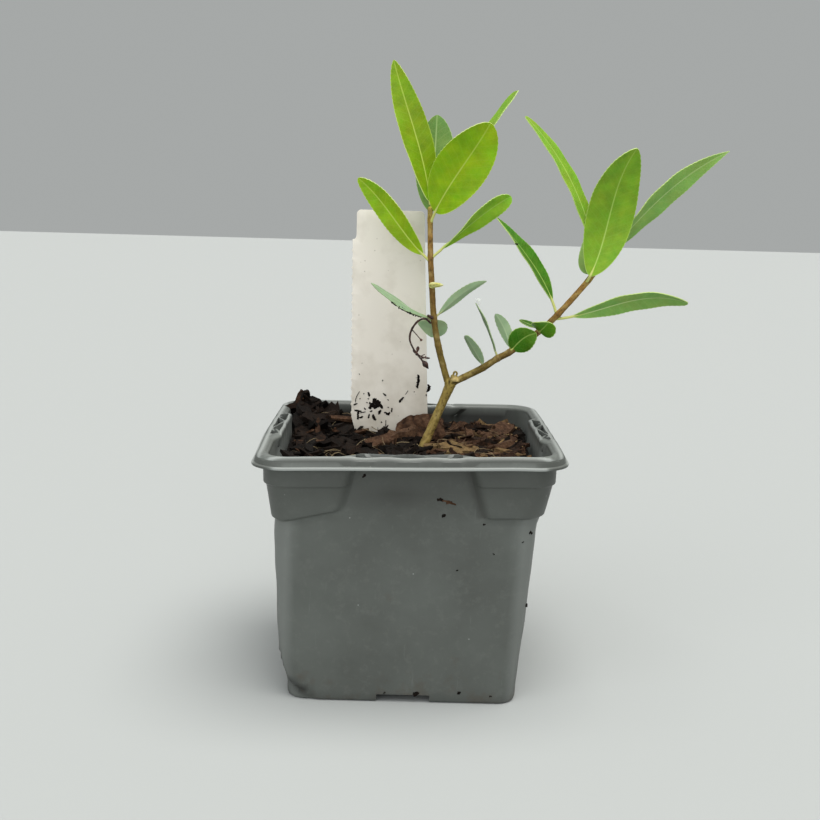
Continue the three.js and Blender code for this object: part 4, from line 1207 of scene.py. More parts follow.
def mix_height(x, y):
    """How high the mix lies: as on the plain model, but lower under heaped flakes and near the wall."""
    broad = np.sin(0.31 * x + 0.2 * y + 1) * np.cos(0.27 * y - 0.1 * x)
    lumps = broad + 0.5 * np.sin(0.7 * x - 0.45 * y)
    bank = smoothstep(-x, 8, 38) * smoothstep(y, -30, 25)
    heap = np.exp(-((x - HEAP["x"]) ** 2 + (y - HEAP["y"]) ** 2) / (2 * HEAP["spread"] ** 2))
    from_wall = np.clip(39 - np.maximum(np.abs(x), np.abs(y)), 0, 39)
    return np.minimum(MIX_LEVEL + 0.8 * lumps + 3 * bank + HEAP["height"] * heap, 75 + 1.6 * from_wall)


def bed_height(x, y):
    """The bed's own height, with crumbly relief, a little below the flakes that lie on it."""
    crumbly = noise.fractal(Vector((x / 2.6, y / 2.6, 0.3)), 1, 2, 5)
    pits = noise.noise(Vector((x / 6, y / 6, 7)))
    return float(mix_height(x, y)) - 0.5 + 0.9 * crumbly + 1.1 * min(0, pits)


BED_STEPS = 70
bed_levels = [
    (4.3, 0.01, 0.01, 0.005, 4.3), (4.3, 33.6, 33.6, 4, 4.3), (5, 34.1, 34.1, 4.6, 5),
    (57.5, 37.2, 37.2, 5, 57.5), (60.5, 38.4, 37.4, 6.3, 60.5), (66, 38.8, 37.5, 6.3, 66),
]
for i in range(BED_STEPS + 1):
    share = 1 - i / BED_STEPS
    bed_levels.append((MIX_LEVEL, 39.0 * share + 0.01, 37.5 * share + 0.01, 6.4 * share + 0.005, MIX_LEVEL))
bed = roll_up("mix_bed", bed_levels, spacing=9)
places = places_of(bed)
top = places[:, 2] > MIX_LEVEL - 0.1
places[top, 2] = [bed_height(px, py) for px, py in places[top, :2]]
x, y, z = places.T
x -= ramp(x, 20, 35) * ramp(z, 60, 57)
on_right = (x > 0) & (x < 29) & (z < 69)
y[on_right] = np.maximum(y[on_right], -36.6)
in_dent = ramp(x, -22, -28) * ramp(y, -22, -28) * (z < 6)
places[:, :2] += 2 * in_dent[:, None]
move_points(bed, places)
print("The bed's top reaches", round(float(places[:, 2].max()), 1), "mm")

# %% [markdown]
# Flakes of bark are slabs with worn, splintered edges. Six are modelled, with a few dozen faces each, and
# copied several hundred times into joined pieces. Splinters, crumbs and fibres are made the same way. Every
# copy carries a `tone`, from 0 for nearly black to 1 for a pale tan, which its material reads.

# %% Base shapes and a way to scatter them
def take_shape(piece):
    """A piece's points and faces as lists. The piece itself is removed."""
    points = places_of(piece)
    faces = [list(polygon.vertices) for polygon in piece.data.polygons]
    bpy.data.objects.remove(piece)
    return points, faces


def make_flake(seed, cuts=2, ragged=0.27, bend=0.15):
    """A slab one millimetre long, wide and thick, whose ends are ragged and whose middle is bowed."""
    pick()
    bpy.ops.mesh.primitive_cube_add(size=1)
    flake = bpy.context.object
    edit(flake, bpy.ops.mesh.subdivide, number_cuts=cuts)
    chance = random.Random(seed)
    points = places_of(flake) * MM
    across = {}
    for i, (x, y, z) in enumerate(points):
        key = (round(x, 2), round(y, 2))
        if key not in across:
            across[key] = [chance.uniform(-ragged, ragged) for k in range(3)]
        jog = across[key]
        narrow = 1 - 0.35 * (2 * abs(x)) ** 2
        points[i] = (x * (1 + jog[0]), y * narrow * (1 + jog[1]) + 0.5 * jog[2], z * (1 + 2.6 * jog[2]))
        points[i, 2] += bend * (x * x - 0.1) + 0.6 * jog[1] + chance.uniform(-0.12, 0.12)
    move_points(flake, points)
    return take_shape(flake)


def make_crumb(seed):
    """A rough grain one millimetre across."""
    pick()
    bpy.ops.mesh.primitive_ico_sphere_add(subdivisions=1, radius=0.5)
    crumb = bpy.context.object
    chance = random.Random(seed)
    points = places_of(crumb) * MM
    points *= np.array([[chance.uniform(0.6, 1.25)] for k in range(len(points))])
    move_points(crumb, points)
    return take_shape(crumb)


def make_fibre(seed, sides=4, rows=7):
    """A thin curled root fibre one millimetre long."""
    chance = random.Random(seed)
    pick()
    bpy.ops.mesh.primitive_cylinder_add(vertices=sides, radius=0.5, depth=1, end_fill_type="NGON",
                                        rotation=(0, math.pi / 2, 0))
    fibre = bpy.context.object
    bpy.ops.object.transform_apply(rotation=True)
    for row in range(1, rows):
        edit(fibre, bpy.ops.mesh.bisect, plane_co=(row / rows - 0.5, 0, 0), plane_no=(1, 0, 0))
    points = places_of(fibre) * MM
    curl, sway = chance.uniform(-1.2, 1.2), chance.uniform(-0.3, 0.3)
    along = points[:, 0]
    points[:, 1:] *= 0.024 * (1 - 0.7 * np.abs(2 * along[:, None]) ** 2)
    points[:, 1] += curl * (along ** 2 - 0.08) + sway * np.sin(7 * along)
    points[:, 2] += 0.12 * np.cos(5 * along + chance.uniform(0, 6))
    move_points(fibre, points)
    return take_shape(fibre)


FLAKES = [make_flake(seed) for seed in range(6)]
SPLINTERS = [make_flake(10 + seed, cuts=1, ragged=0.3, bend=0.3) for seed in range(5)]
CRUMBS = [make_crumb(seed) for seed in range(4)]
FIBRES = [make_fibre(seed) for seed in range(4)]


def moved(points, matrix):
    return points @ np.array(matrix.to_3x3()).T + np.array(matrix.translation)


def scatter(name, shapes, spots):
    """One mesh of many copies. A spot is a shape's number, a matrix in millimetres and a tone."""
    points, faces, tones, start = [], [], [], 0
    for number, matrix, tone in spots:
        corners, polygons = shapes[number % len(shapes)]
        points.append(moved(corners, matrix))
        faces += [[start + i for i in polygon] for polygon in polygons]
        tones += [tone] * len(corners)
        start += len(corners)
    mesh = bpy.data.meshes.new(name)
    mesh.from_pydata((np.concatenate(points) * MM).tolist(), [], faces)
    piece = bpy.data.objects.new(name, mesh)
    bpy.context.collection.objects.link(piece)
    write_attribute(piece, "tone", tones)
    close_up(piece, 0)
    return piece


# %% [markdown]
# Each piece is dealt a place on the mix by a seeded random choice. It stays inside the pot's wall and clear
# of the label and the trunk, and it stands off the pot's rim. Some flakes stand up on edge, most in the
# banked left half.

# %% Scatter the bark
dealer = random.Random(21)
LABEL_Y, LABEL_THICK = 18, 0.6


def is_free(x, y, room):
    """Whether a piece that reaches this far out fits there."""
    far, near = max(abs(x), abs(y)), min(abs(x), abs(y))
    at_wall = far > 38.3 - room or (far > 36.9 - room and near < LUG_END)
    at_corner = near > 33 and math.hypot(far - 33, near - 33) > 5.3 - room
    at_trunk = math.hypot(x - 4.8, y + 2) < 2.1 + 0.55 * room
    at_label = -20.5 - room < x < 6.2 + room and abs(y - LABEL_Y) < 0.8 + 0.75 * room
    return not (at_wall or at_corner or at_trunk or at_label)


def lay(x, y, size, turn, tilt, roll, lift):
    """The matrix that lays a shape of unit size on the mix."""
    placed = Matrix.Translation(Vector((x, y, float(mix_height(x, y)) + lift)))
    for angle, axis in ((turn, "Z"), (tilt, "Y"), (roll, "X")):
        placed = placed @ Matrix.Rotation(math.radians(angle), 4, axis)
    return placed @ Matrix.Diagonal((*size, 1))


def deal(count, room_of, make):
    """Deal out places until there are enough that are free."""
    spots = []
    for attempt in range(count * 12):
        x, y = dealer.uniform(-38, 38), dealer.uniform(-38, 38)
        size, tone = make(x, y)
        if is_free(x, y, room_of(size)):
            spots.append((x, y, size, tone))
        if len(spots) == count:
            break
    return spots


def dealt_tone(x, y):
    """Nearly black on the left with some red-brown, and mid brown with some tan on the right."""
    chance = dealer.random()
    if x > 8:
        return dealer.uniform(0.5, 0.85) if chance > 0.7 else dealer.uniform(0.1, 0.5)
    return dealer.uniform(0.34, 0.5) if chance > 0.9 else dealer.uniform(0.0, 0.28)


def make_flake_spot(x, y):
    size = (dealer.uniform(5, 12), dealer.uniform(2.6, 6), dealer.uniform(0.7, 1.7))
    return size, dealt_tone(x, y) if x > 8 else dealer.uniform(0.0, 0.27)


def make_splinter_spot(x, y):
    return (dealer.uniform(4, 11), dealer.uniform(0.7, 1.8), dealer.uniform(0.35, 0.9)), dealt_tone(x, y)


def make_crumb_spot(x, y):
    size = 0.4 + 1.6 * dealer.random() ** 2
    return (size, size * dealer.uniform(0.6, 1), size * dealer.uniform(0.5, 0.9)), dealt_tone(x, y)


flake_spots = []
for i, (x, y, size, tone) in enumerate(deal(230, lambda s: s[0] * 0.44, make_flake_spot)):
    steep = dealer.random() < (0.3 if x < -10 else 0.14)
    tilt = dealer.uniform(-50, 50) if steep else dealer.gauss(0, 11)
    matrix = lay(x, y, size, dealer.uniform(0, 360), tilt, dealer.gauss(0, 13), dealer.uniform(-0.4, 0.8))
    flake_spots.append((i, matrix, tone))
splinter_spots = []
for i, (x, y, size, tone) in enumerate(deal(560, lambda s: s[0] * 0.45, make_splinter_spot)):
    matrix = lay(x, y, size, dealer.uniform(0, 360), dealer.gauss(0, 16), dealer.gauss(0, 25),
                 dealer.uniform(-0.2, 1.3))
    splinter_spots.append((i, matrix, tone))
crumb_spots = []
for i, (x, y, size, tone) in enumerate(deal(2400, lambda s: s[0] * 0.5, make_crumb_spot)):
    matrix = lay(x, y, size, dealer.uniform(0, 360), dealer.uniform(-60, 60), 0, dealer.uniform(-0.1, 0.9))
    crumb_spots.append((i, matrix, tone))
flakes = scatter("bark_flakes", FLAKES, flake_spots)
splinters = scatter("bark_splinters", SPLINTERS, splinter_spots)
crumbs = scatter("bark_crumbs", CRUMBS, crumb_spots)
print(len(flake_spots), "flakes,", len(splinter_spots), "splinters,", len(crumb_spots), "crumbs")

# %% [markdown]
# Some pieces can be told apart and are placed one by one: a broad ribbed plate of bark that leans behind the
# trunk, a tan slab and a red-brown one in front of it, flakes along the right wall, and a long reddish
# splinter on the left. A heap of flakes fills the back left corner and stands above the rim.

# %% Pieces placed one by one
PLATE_LENGTH, PLATE_WIDTH, PLATE_THICKNESS = 15.5, 11, 1.3
plate, sheet = add_grid("ribbed_plate", 70, 30)
ribbed = np.empty((len(sheet), 3))
ribs = np.empty(len(sheet))
for i, (u, v) in enumerate(sheet - 0.5):
    ragged = noise.noise(Vector((u * 5, v * 3, 1))) * 0.12
    taper = 1 - 0.3 * (2 * abs(u)) ** 3
    wander = 2.4 * v + 2.5 * noise.noise(Vector((u * 3, v * 2, 7)))
    ribs[i] = abs(math.sin(12 * u * (1 + 0.5 * v) + wander))
    ridge = 0.4 * ribs[i] + 0.35 * noise.noise(Vector((u * 14, v * 9, 2)))
    bow = 8 * (0.25 - u * u) + 1.6 * (0.25 - v * v)
    ribbed[i] = (u * PLATE_LENGTH * (1 + ragged * (abs(v) + 0.5)), v * PLATE_WIDTH * taper * (1 + ragged),
                 ridge + bow)
move_points(plate, ribbed)
write_attribute(plate, "tone", 0.34 + 0.2 * ribs ** 0.7)
modify(plate, "SOLIDIFY", thickness=PLATE_THICKNESS * MM, offset=-1)
placed = lay(3.9, 9.8, size=(1, 1, 1), turn=2, tilt=-7, roll=46, lift=2.6)
move_points(plate, moved(places_of(plate), placed))

HAND_PLACED = [  # x, y, size, turn, tilt, roll, lift, tone
    (15.4, -9.5, (11.5, 6.5, 1.8), -4, 3, 7, 0.9, 0.78),
    (13.5, 14.5, (15, 6, 1.8), 4, -6, -10, 1.3, 0.62),
    (28.6, -2.5, (9, 6, 1.6), 32, -8, -20, 1.0, 0.55),
    (31.0, 21.5, (10, 7, 1.4), 60, -14, 10, 2.1, 0.5),
    (24.5, 24, (12, 5, 1.5), 12, 5, -30, 1.8, 0.3),
    (-20.5, 21.5, (12, 2.2, 1.2), 4, 4, 10, 2.6, 0.5),
    (-38.8, 32.3, (6, 4, 1.4), 20, -42, 12, 1.2, 0.12),
    (-37.2, 32.8, (5, 3, 1.2), 60, -62, 12, 1.5, 0.34),
    (-35.8, 31.8, (6, 3.4, 1.2), 110, 48, -12, 0.9, 0.1),
    (-39.6, 30.8, (6, 4.5, 1.3), 160, 14, 18, 1.2, 0.26),
    (-33.6, 32.2, (6, 4, 1.3), -20, 22, 18, 0.5, 0.2),
    (-30.5, 32.4, (7, 4, 1.3), 10, -4, 18, 0.2, 0.1),
    (-27.0, 32.0, (8, 4.5, 1.4), -12, 3, 14, 0.4, 0.12),
    (-35.5, 25.5, (8, 5, 1.5), 105, -16, 18, 0.4, 0.1),
    (-29.4, 26.2, (12, 5, 1.6), 150, 18, -22, -0.2, 0.26),
    (-22.5, 33.0, (9, 6, 1.5), -14, 16, 20, -0.2, 0.12),
    (-30.8, 18.4, (12, 5, 1.4), 38, 14, 30, 1.6, 0.2),
    (-9.5, -3.6, (13, 4.6, 2.6), 46, -4, 10, 1.5, 0.5),
    (-2.2, 4.4, (12, 4.4, 2.8), 42, -8, -6, 2.2, 0.56),
    (2.0, 2.5, (8, 4, 1.2), 30, 8, -16, 1.0, 0.12),
    (22.0, 8.0, (9, 5, 1.5), 74, 10, 22, 1.0, 0.36),
]
hand_spots = [(i, lay(*spot), tone) for i, (*spot, tone) in enumerate(HAND_PLACED)]
SLABS = [make_flake(40 + seed, cuts=3, ragged=0.16) for seed in range(6)]
hand_flakes = scatter("bark_slabs", SLABS, hand_spots)

fibre_spots = []
for i in range(96):
    x, y = dealer.uniform(-36, 30), dealer.uniform(-35, 30)
    if is_free(x, y, 3):
        long = dealer.uniform(4, 11)
        fibre_spots.append((i, lay(x, y, (long, long, long), dealer.uniform(0, 360), dealer.gauss(0, 14), 0,
                                   dealer.uniform(0.7, 1.6)), dealer.random()))
fibres = scatter("root_fibres", FIBRES, fibre_spots)

# %% [markdown]
# ### Bark mix colours
#
# Wet bark is nearly black in its hollows, dark or red brown on its faces, and tan where a flake has split
# along the grain. The material turns each piece's tone into one of these and adds fine grain and dirt.

# %% Mix materials
def make_bark_mix(name, roughness, ramp, grain_size, contrast):
    """Composted bark, coloured by each piece's tone, or dark throughout for the bed."""
    bark_mix = start_material(name, roughness, {"Specular IOR Level": 0.16})
    place = add_node(bark_mix, "TexCoord", output="Object")
    tone = add_node(bark_mix, "Attribute", output="Fac", attribute_name="tone")
    grain = add_node(bark_mix, "TexNoise", {
        "Vector": place, "Scale": waves_per_metre(grain_size), "Detail": 6, "Roughness": 0.7})
    wander = add_node(bark_mix, "MapRange", {
        "Value": grain, "From Min": 0.3, "From Max": 0.7, "To Min": -0.12, "To Max": 0.12})
    shifted = add_node(bark_mix, "Math", {0: tone, 1: wander}, operation="ADD")
    colour = add_node(bark_mix, "ValToRGB", {"Fac": shifted}, stops=ramp)
    dirt = add_node(bark_mix, "TexNoise", {
        "Vector": place, "Scale": waves_per_metre(2.2), "Detail": 7, "Roughness": 0.75})
    shade = add_node(bark_mix, "MapRange", {
        "Value": dirt, "From Min": 0.35, "From Max": 0.65, "To Min": 1 - contrast, "To Max": 1.15})
    toned = add_node(bark_mix, "HueSaturation", {"Color": colour, "Value": shade})
    bump = add_node(bark_mix, "Bump", {"Height": grain, "Strength": 1.0, "Distance": 0.6 * MM})
    finish_material(bark_mix, {"Base Color": toned, "Normal": bump})
    return bark_mix


BARK_RAMP = [(0, "#0b0704"), (0.26, "#1c1109"), (0.44, "#3d2718"), (0.6, "#5f4634"), (0.8, "#7b6442"),
             (1, "#968058")]
bark_chip = make_bark_mix("composted_pine_bark", 0.85, BARK_RAMP, 1.2, 0.55)
bed_mix = make_bark_mix("fine_dark_compost", 0.9, [(0, "#120c08"), (1, "#1a120c")], 0.8, 0.6)
fibre_stuff = start_material("dry_root_fibre", 0.7, {"Base Color": "#7d6c4e"})
hand_over(bed, ["potting_mix"], [bed_mix])
for piece in (flakes, splinters, plate, hand_flakes):
    smooth(piece, 58)
for piece in (flakes, splinters, crumbs, plate, hand_flakes):
    hand_over(piece, ["potting_mix"], [bark_chip])
hand_over(fibres, ["potting_mix"], [fibre_stuff])

# %% [markdown]
# ## The label
#
# The label is a blank strip of white plastic with a step and a row of fine nibs on its left edge. It starts
# as a flat circle with as many points as its outline has corners, whose points are then put on the outline.
# It is given its thickness, and its edges are rounded off a little. Its tongue ends in the mix.

# %% The label's plate
TEETH_PITCH = 2.8


def label_outline():
    """The corners of the label's outline, seen from the front."""
    def corner(x, z, radius, first):
        angles = [math.radians(first + 15 * k) for k in range(7)]
        return [(x + radius * math.cos(a), z + radius * math.sin(a)) for a in angles]

    outline = [(-12.1, 50), (-2.1, 50), (6.1, 76)]
    outline += corner(1.85, 142.1, 1.4, 0) + corner(-17.1, 142.1, 1.4, 90)
    outline += [(-18.5, 135.4), (-18.6, 134.8), (-18.85, 134.35), (-19.3, 134.1), (-19.75, 134.05)]
    z = 130.6
    while z > 77:
        edge = -19.1 - 0.01 * (z - 76)
        outline += [(edge, z + 0.55), (edge - 0.28, z + 0.2), (edge - 0.28, z - 0.2), (edge, z - 0.55)]
        z -= TEETH_PITCH
    return outline + [(-19.1, 76)]


outline = label_outline()
pick()
bpy.ops.mesh.primitive_circle_add(vertices=len(outline), fill_type="NGON")
label = bpy.context.object
label.name = "plant_label_plate"
move_points(label, [(px, LABEL_Y, pz) for px, pz in outline])
for height in range(60, 142, 4):
    edit(label, bpy.ops.mesh.bisect, plane_co=(0, 0, height * MM), plane_no=(0, 0, 1))
for across in range(-16, 4, 4):
    edit(label, bpy.ops.mesh.bisect, plane_co=(across * MM, 0, 0), plane_no=(1, 0, 0))
modify(label, "SOLIDIFY", thickness=LABEL_THICK * MM, offset=0)
modify(label, "BEVEL", limit_method="ANGLE", angle_limit=math.radians(50), width=0.1 * MM, segments=2)
places = places_of(label)
places[:, 1] += 0.15 * np.sin(places[:, 2] / 21) + 0.1 * np.sin(places[:, 0] / 6 + 1)
move_points(label, places)
smooth(label, 40)

# %% [markdown]
# ### Label plastic
#
# Polystyrene sheet: cream white, satin, with faint scratches and patches of brown film, and darker and
# browner towards the bottom.

# %% Label material
label_plastic = start_material("polystyrene_white", 0.42, {
    "Subsurface Weight": 0.08, "Subsurface Radius": (1, 0.95, 0.85), "Subsurface Scale": 0.4 * MM})
place = add_node(label_plastic, "TexCoord", output="Object")
height = add_node(label_plastic, "SeparateXYZ", {0: place}, output="Z")
patchiness = add_node(label_plastic, "TexNoise", {
    "Vector": place, "Scale": waves_per_metre(9), "Detail": 5, "Roughness": 0.55})
# darker and browner towards the bottom
near_mix = add_node(label_plastic, "MapRange", {
    "Value": height, "From Min": 0.1, "From Max": 0.074, "To Max": 0.22})
darkening_level = add_node(label_plastic, "Math", {0: patchiness, 1: near_mix}, operation="ADD")
darkening_mask = add_node(label_plastic, "MapRange", {
    "Value": darkening_level, "From Min": 0.5, "From Max": 1.0, "To Max": 0.6})
dots = add_node(label_plastic, "TexVoronoi", {"Vector": place, "Scale": waves_per_metre(3.2)})
dot_mask = add_node(label_plastic, "MapRange", {
    "Value": dots, "From Min": 0.09, "From Max": 0.05, "To Max": 0.45})
colour = "#e3ddd2"
for mask, coat in ((darkening_mask, "#a79c86"), (dot_mask, "#8d8474")):
    colour = add_node(label_plastic, "Mix", {"Factor": mask, UNDER: colour, OVER: coat}, data_type="RGBA")
drawn_out = add_node(label_plastic, "Mapping", {"Vector": place, "Scale": (1, 1, 0.08)})
scratches = add_node(label_plastic, "TexNoise", {
    "Vector": drawn_out, "Scale": waves_per_metre(0.6), "Detail": 2})
bump = add_node(label_plastic, "Bump", {"Height": scratches, "Strength": 0.15, "Distance": 0.03 * MM})
finish_material(label_plastic, {"Base Color": colour, "Normal": bump})
hand_over(label, ["plant_label"], [label_plastic])

# %% [markdown]
# Watering has splashed the label and the pot with wet mix. Its crumbs and smears stick where the photograph
# shows them, and so do the dirt along the margin of one low leaf and a speck on another. A large crumb is
# made of several that lie close together, and a smear is a row of them.

# %% Crumbs on the label, the pot and two leaves
LABEL_SMEARS = [  # the width of each smear, and then its bends as x, z, x, z
    (0.95, 2.7, 90.4, 2.6, 88.5, 2.3, 86.4), (0.9, 6.0, 87.4, 6.4, 86.2, 5.9, 85.1),
    (1.0, 6.1, 86.6, 6.1, 85.9), (0.35, 5.3, 84.2, 5.5, 83.6), (0.7, -2.1, 82.8, -2.9, 82.1),
    (1.0, -2.9, 82.1, -3.4, 81.5), (0.5, -8.7, 84.1, -7.8, 83.4), (0.45, -9.1, 88.6, -9.1, 88.3),
    (0.3, -16.7, 90.4, -16.7, 90.2), (0.65, -13.6, 84.3, -13.3, 83.1), (0.5, -13.7, 82.2, -13.5, 82.2),
    (1.1, -11.9, 82.1, -10.4, 81.2, -9.0, 79.7), (1.1, -12.2, 81.4, -10.8, 80.6, -9.8, 79.9),
    (1.1, -11.5, 81.2, -12.6, 80.0, -13.2, 79.1), (1.0, -12.4, 80.5, -11.2, 79.9),
    (0.9, -13.0, 80.8, -11.6, 79.2, -10.2, 79.8), (0.5, -14.2, 81.0, -13.9, 80.7),
    (0.4, -7.2, 79.6, -6.9, 79.4), (0.5, -14.9, 79.0, -14.6, 78.6), (0.5, -12.9, 77.9, -12.2, 78.2),
    (0.8, -9.5, 78.2, -10.0, 77.4), (0.9, -12.0, 76.7, -11.7, 75.7, -11.1, 75.2),
    (0.5, -13.3, 77.0, -13.4, 75.8), (0.7, -16.3, 75.7, -15.4, 76.2),
    (0.6, -18.1, 78.1, -17.0, 78.2, -16.0, 77.9), (0.8, -16.8, 77.9, -16.9, 76.6, -17.1, 75.5),
    (0.3, -16.2, 77.4, -14.5, 77.8), (0.55, -18.4, 80.0, -17.4, 80.4),
    (0.25, -16.6, 84.5, -17.3, 83.3, -17.8, 81.9, -17.8, 80.9), (0.35, -15.2, 83.9, -15.0, 83.9),
    (0.4, -16.4, 82.2, -16.4, 82.0), (0.9, -8.0, 77.7, -7.0, 77.1, -6.4, 77.5),
    (0.5, -5.8, 79.1, -5.9, 78.0), (0.5, -8.8, 72.5, -8.6, 72.3),
    (0.25, -7.7, 75.1, -7.7, 73.6, -8.1, 71.8), (0.4, -9.2, 74.5, -9.0, 74.3),
    (0.35, -7.2, 82.1, -7.0, 81.9), (0.2, -0.6, 85.2, -1.4, 84.0), (0.4, 1.4, 85.0, 1.4, 84.8),
    (0.35, -1.8, 75.8, -1.6, 75.8), (0.4, -1.1, 74.8, -0.9, 74.8),
]
POT_CRUMBS = [  # x, z, width, height, turn
    (-12.8, 69.8, 0.8, 0.8, 0), (10.3, 58.6, 0.9, 0.6, 20), (21.9, 56.1, 0.6, 0.6, 0),
    (35.4, 53.6, 0.7, 0.9, 0),
    (14.7, 42.1, 0.5, 0.5, 0), (3.9, 2.9, 1.2, 0.9, 15), (16.6, 3.5, 0.8, 0.8, 0), (26, 2.6, 0.6, 0.6, 0),
    (9.2, 63.3, 1.5, 0.35, -4), (25, 47.5, 0.4, 0.4, 0),
    (-5.4, 3.0, 0.6, 0.5, 0), (33.2, 51.1, 0.4, 0.4, 0), (35.6, 30.5, 0.6, 0.9, 0),
]


def add_grain(spots, x, z, y_at, size, thick, slimmest, palest):
    """Press a grain flat against an upright face, turned by chance."""
    turned = Matrix.Rotation(dealer.uniform(0, 6.28), 4, "Y")
    shape = Matrix.Diagonal((size * dealer.uniform(slimmest, 1.3), thick, size * 0.8, 1))
    matrix = Matrix.Translation(Vector((x, y_at(x, z), z))) @ turned @ shape
    spots.append((len(spots), matrix, dealer.uniform(0, palest)))


def stick_on(crumbs, y_at, thick, grains):
    """Spots for crumbs on an upright face."""
    spots = []
    for x, z, width, height, turn in crumbs:
        lean = math.radians(turn)
        for k in range(max(3, round(grains * width * height))):
            angle, reach = dealer.uniform(0, 2 * math.pi), math.sqrt(dealer.random())
            dx, dz = reach * math.cos(angle) * width / 2, reach * math.sin(angle) * height / 2
            at_x = x + dx * math.cos(lean) - dz * math.sin(lean)
            at_z = z + dx * math.sin(lean) + dz * math.cos(lean)
            size = dealer.uniform(0.6, 1.0) * min(1.3, max(width, height)) + 0.15
            add_grain(spots, at_x, at_z, y_at, size, thick, 0.7, 0.25)
    return spots


def smear_on(smears, y_at, thick):
    """Spots for fine grains in a row along each smear on an upright face."""
    spots = []
    for width, *bends in smears:
        bends = list(zip(bends[::2], bends[1::2]))
        for (x0, z0), (x1, z1) in zip(bends, bends[1:]):
            steps = max(2, round(5 * math.hypot(x1 - x0, z1 - z0) / width))
            for k in range(steps):
                share = (k + dealer.random()) / steps
                x = x0 + (x1 - x0) * share + dealer.uniform(-0.15, 0.15) * width
                z = z0 + (z1 - z0) * share + dealer.uniform(-0.15, 0.15) * width
                add_grain(spots, x, z, y_at, width * dealer.uniform(0.8, 1.2), thick, 0.8, 0.2)
    return spots


def label_front(x, z):
    return LABEL_Y - LABEL_THICK / 2 + 0.15 * math.sin(z / 21) + 0.1 * math.sin(x / 6 + 1)


def front_of(piece, y_otherwise, inwards=0.0, clearance=0.0):
    """A function that finds a piece's surface by a ray from in front, and a little inwards from a margin."""
    surface = piece.evaluated_get(bpy.context.evaluated_depsgraph_get())

    def y_at(x, z):
        hit, spot = surface.ray_cast(Vector((x, -60, z + inwards)) * MM, Vector((0, 1, 0)))[:2]
        return spot.y / MM - clearance if hit else y_otherwise(z)
    return y_at


STREAK = [(10.8, 62.9, 2.2, -10), (12.4, 62.3, 2.4, -20), (11.6, 62.5, 1.6, 15)]  # x, z, length, lean
MARGIN_DIRT = [(0.75, 2.9, 111.5, -1.4, 113.1, -4.2, 114.6), (0.6, -4.6, 114.9, -6.6, 116.1),
               (0.45, -7.6, 117.3, -8.4, 118.0)]
SPECK = [(0.8, 30.5, 134.9, 30.8, 134.7)]
low_leaf = leaf_pieces["leaf_left_low_left"]
low_leaf_y = low_leaf.data.vertices[0].co.y / MM
pot_front = front_of(pot, lambda z: -straight_wall(z))
low_leaf_front = front_of(low_leaf, lambda z: low_leaf_y, inwards=0.5, clearance=0.15)
streak_spots = []
for i, (x, z, length, lean) in enumerate(STREAK):
    matrix = Matrix.Translation(Vector((x, pot_front(x, z) - 0.1, z)))
    matrix = matrix @ Matrix.Rotation(math.radians(-lean), 4, "Y") @ Matrix.Diagonal((length, 0.25, 0.35, 1))
    streak_spots.append((i, matrix, 0.5))
label_spots = smear_on(LABEL_SMEARS, label_front, 0.4)
pot_spots = stick_on(POT_CRUMBS, pot_front, 0.3, 9)
dirt_spots = smear_on(MARGIN_DIRT, low_leaf_front, 0.6)
speck_spots = smear_on(SPECK, lambda x, z: -7.9, 0.5)
for name, shapes, spots, node in (("splinters_on_pot", SPLINTERS, streak_spots, "pot"),
                                  ("crumbs_on_label", CRUMBS, label_spots, "plant_label"),
                                  ("crumbs_on_pot", CRUMBS, pot_spots, "pot"),
                                  ("dirt_on_low_leaf", CRUMBS, dirt_spots, "leaf_left_low_left"),
                                  ("speck_on_leaf", CRUMBS, speck_spots, "leaf_right_mid_left")):
    hand_over(scatter(name, shapes, spots), [node], [bark_chip])

# %% [markdown]
# ## Bud, spent flower stalk and other small things
#
# They are tubes on short growth lines of their own. The spent stalk curls down from the left shoot's second
# node and ends in a dry capsule with a beak. The bud is a spindle between two scales. A tuft of wool hangs
# on a thin leaf's tip.

# %% The spent stalk
def thin_tube(name, root, internodes, radius_at, sides=10, spacing=0.25):
    """A tube on a growth line of its own. Its radius is a function of the share of its length."""
    line = GrowthLine(root, internodes)
    return add_tube(name, line, lambda d: radius_at(d / line.length), 0, line.length, sides, spacing)


def knob(thin, thick, at, width, taper=0.0):
    """The radius, at a share u of the way, of a twig that thins by its taper and has one knob."""
    return lambda u: thin - taper * u + thick * math.exp(-((u - at) / width) ** 2)


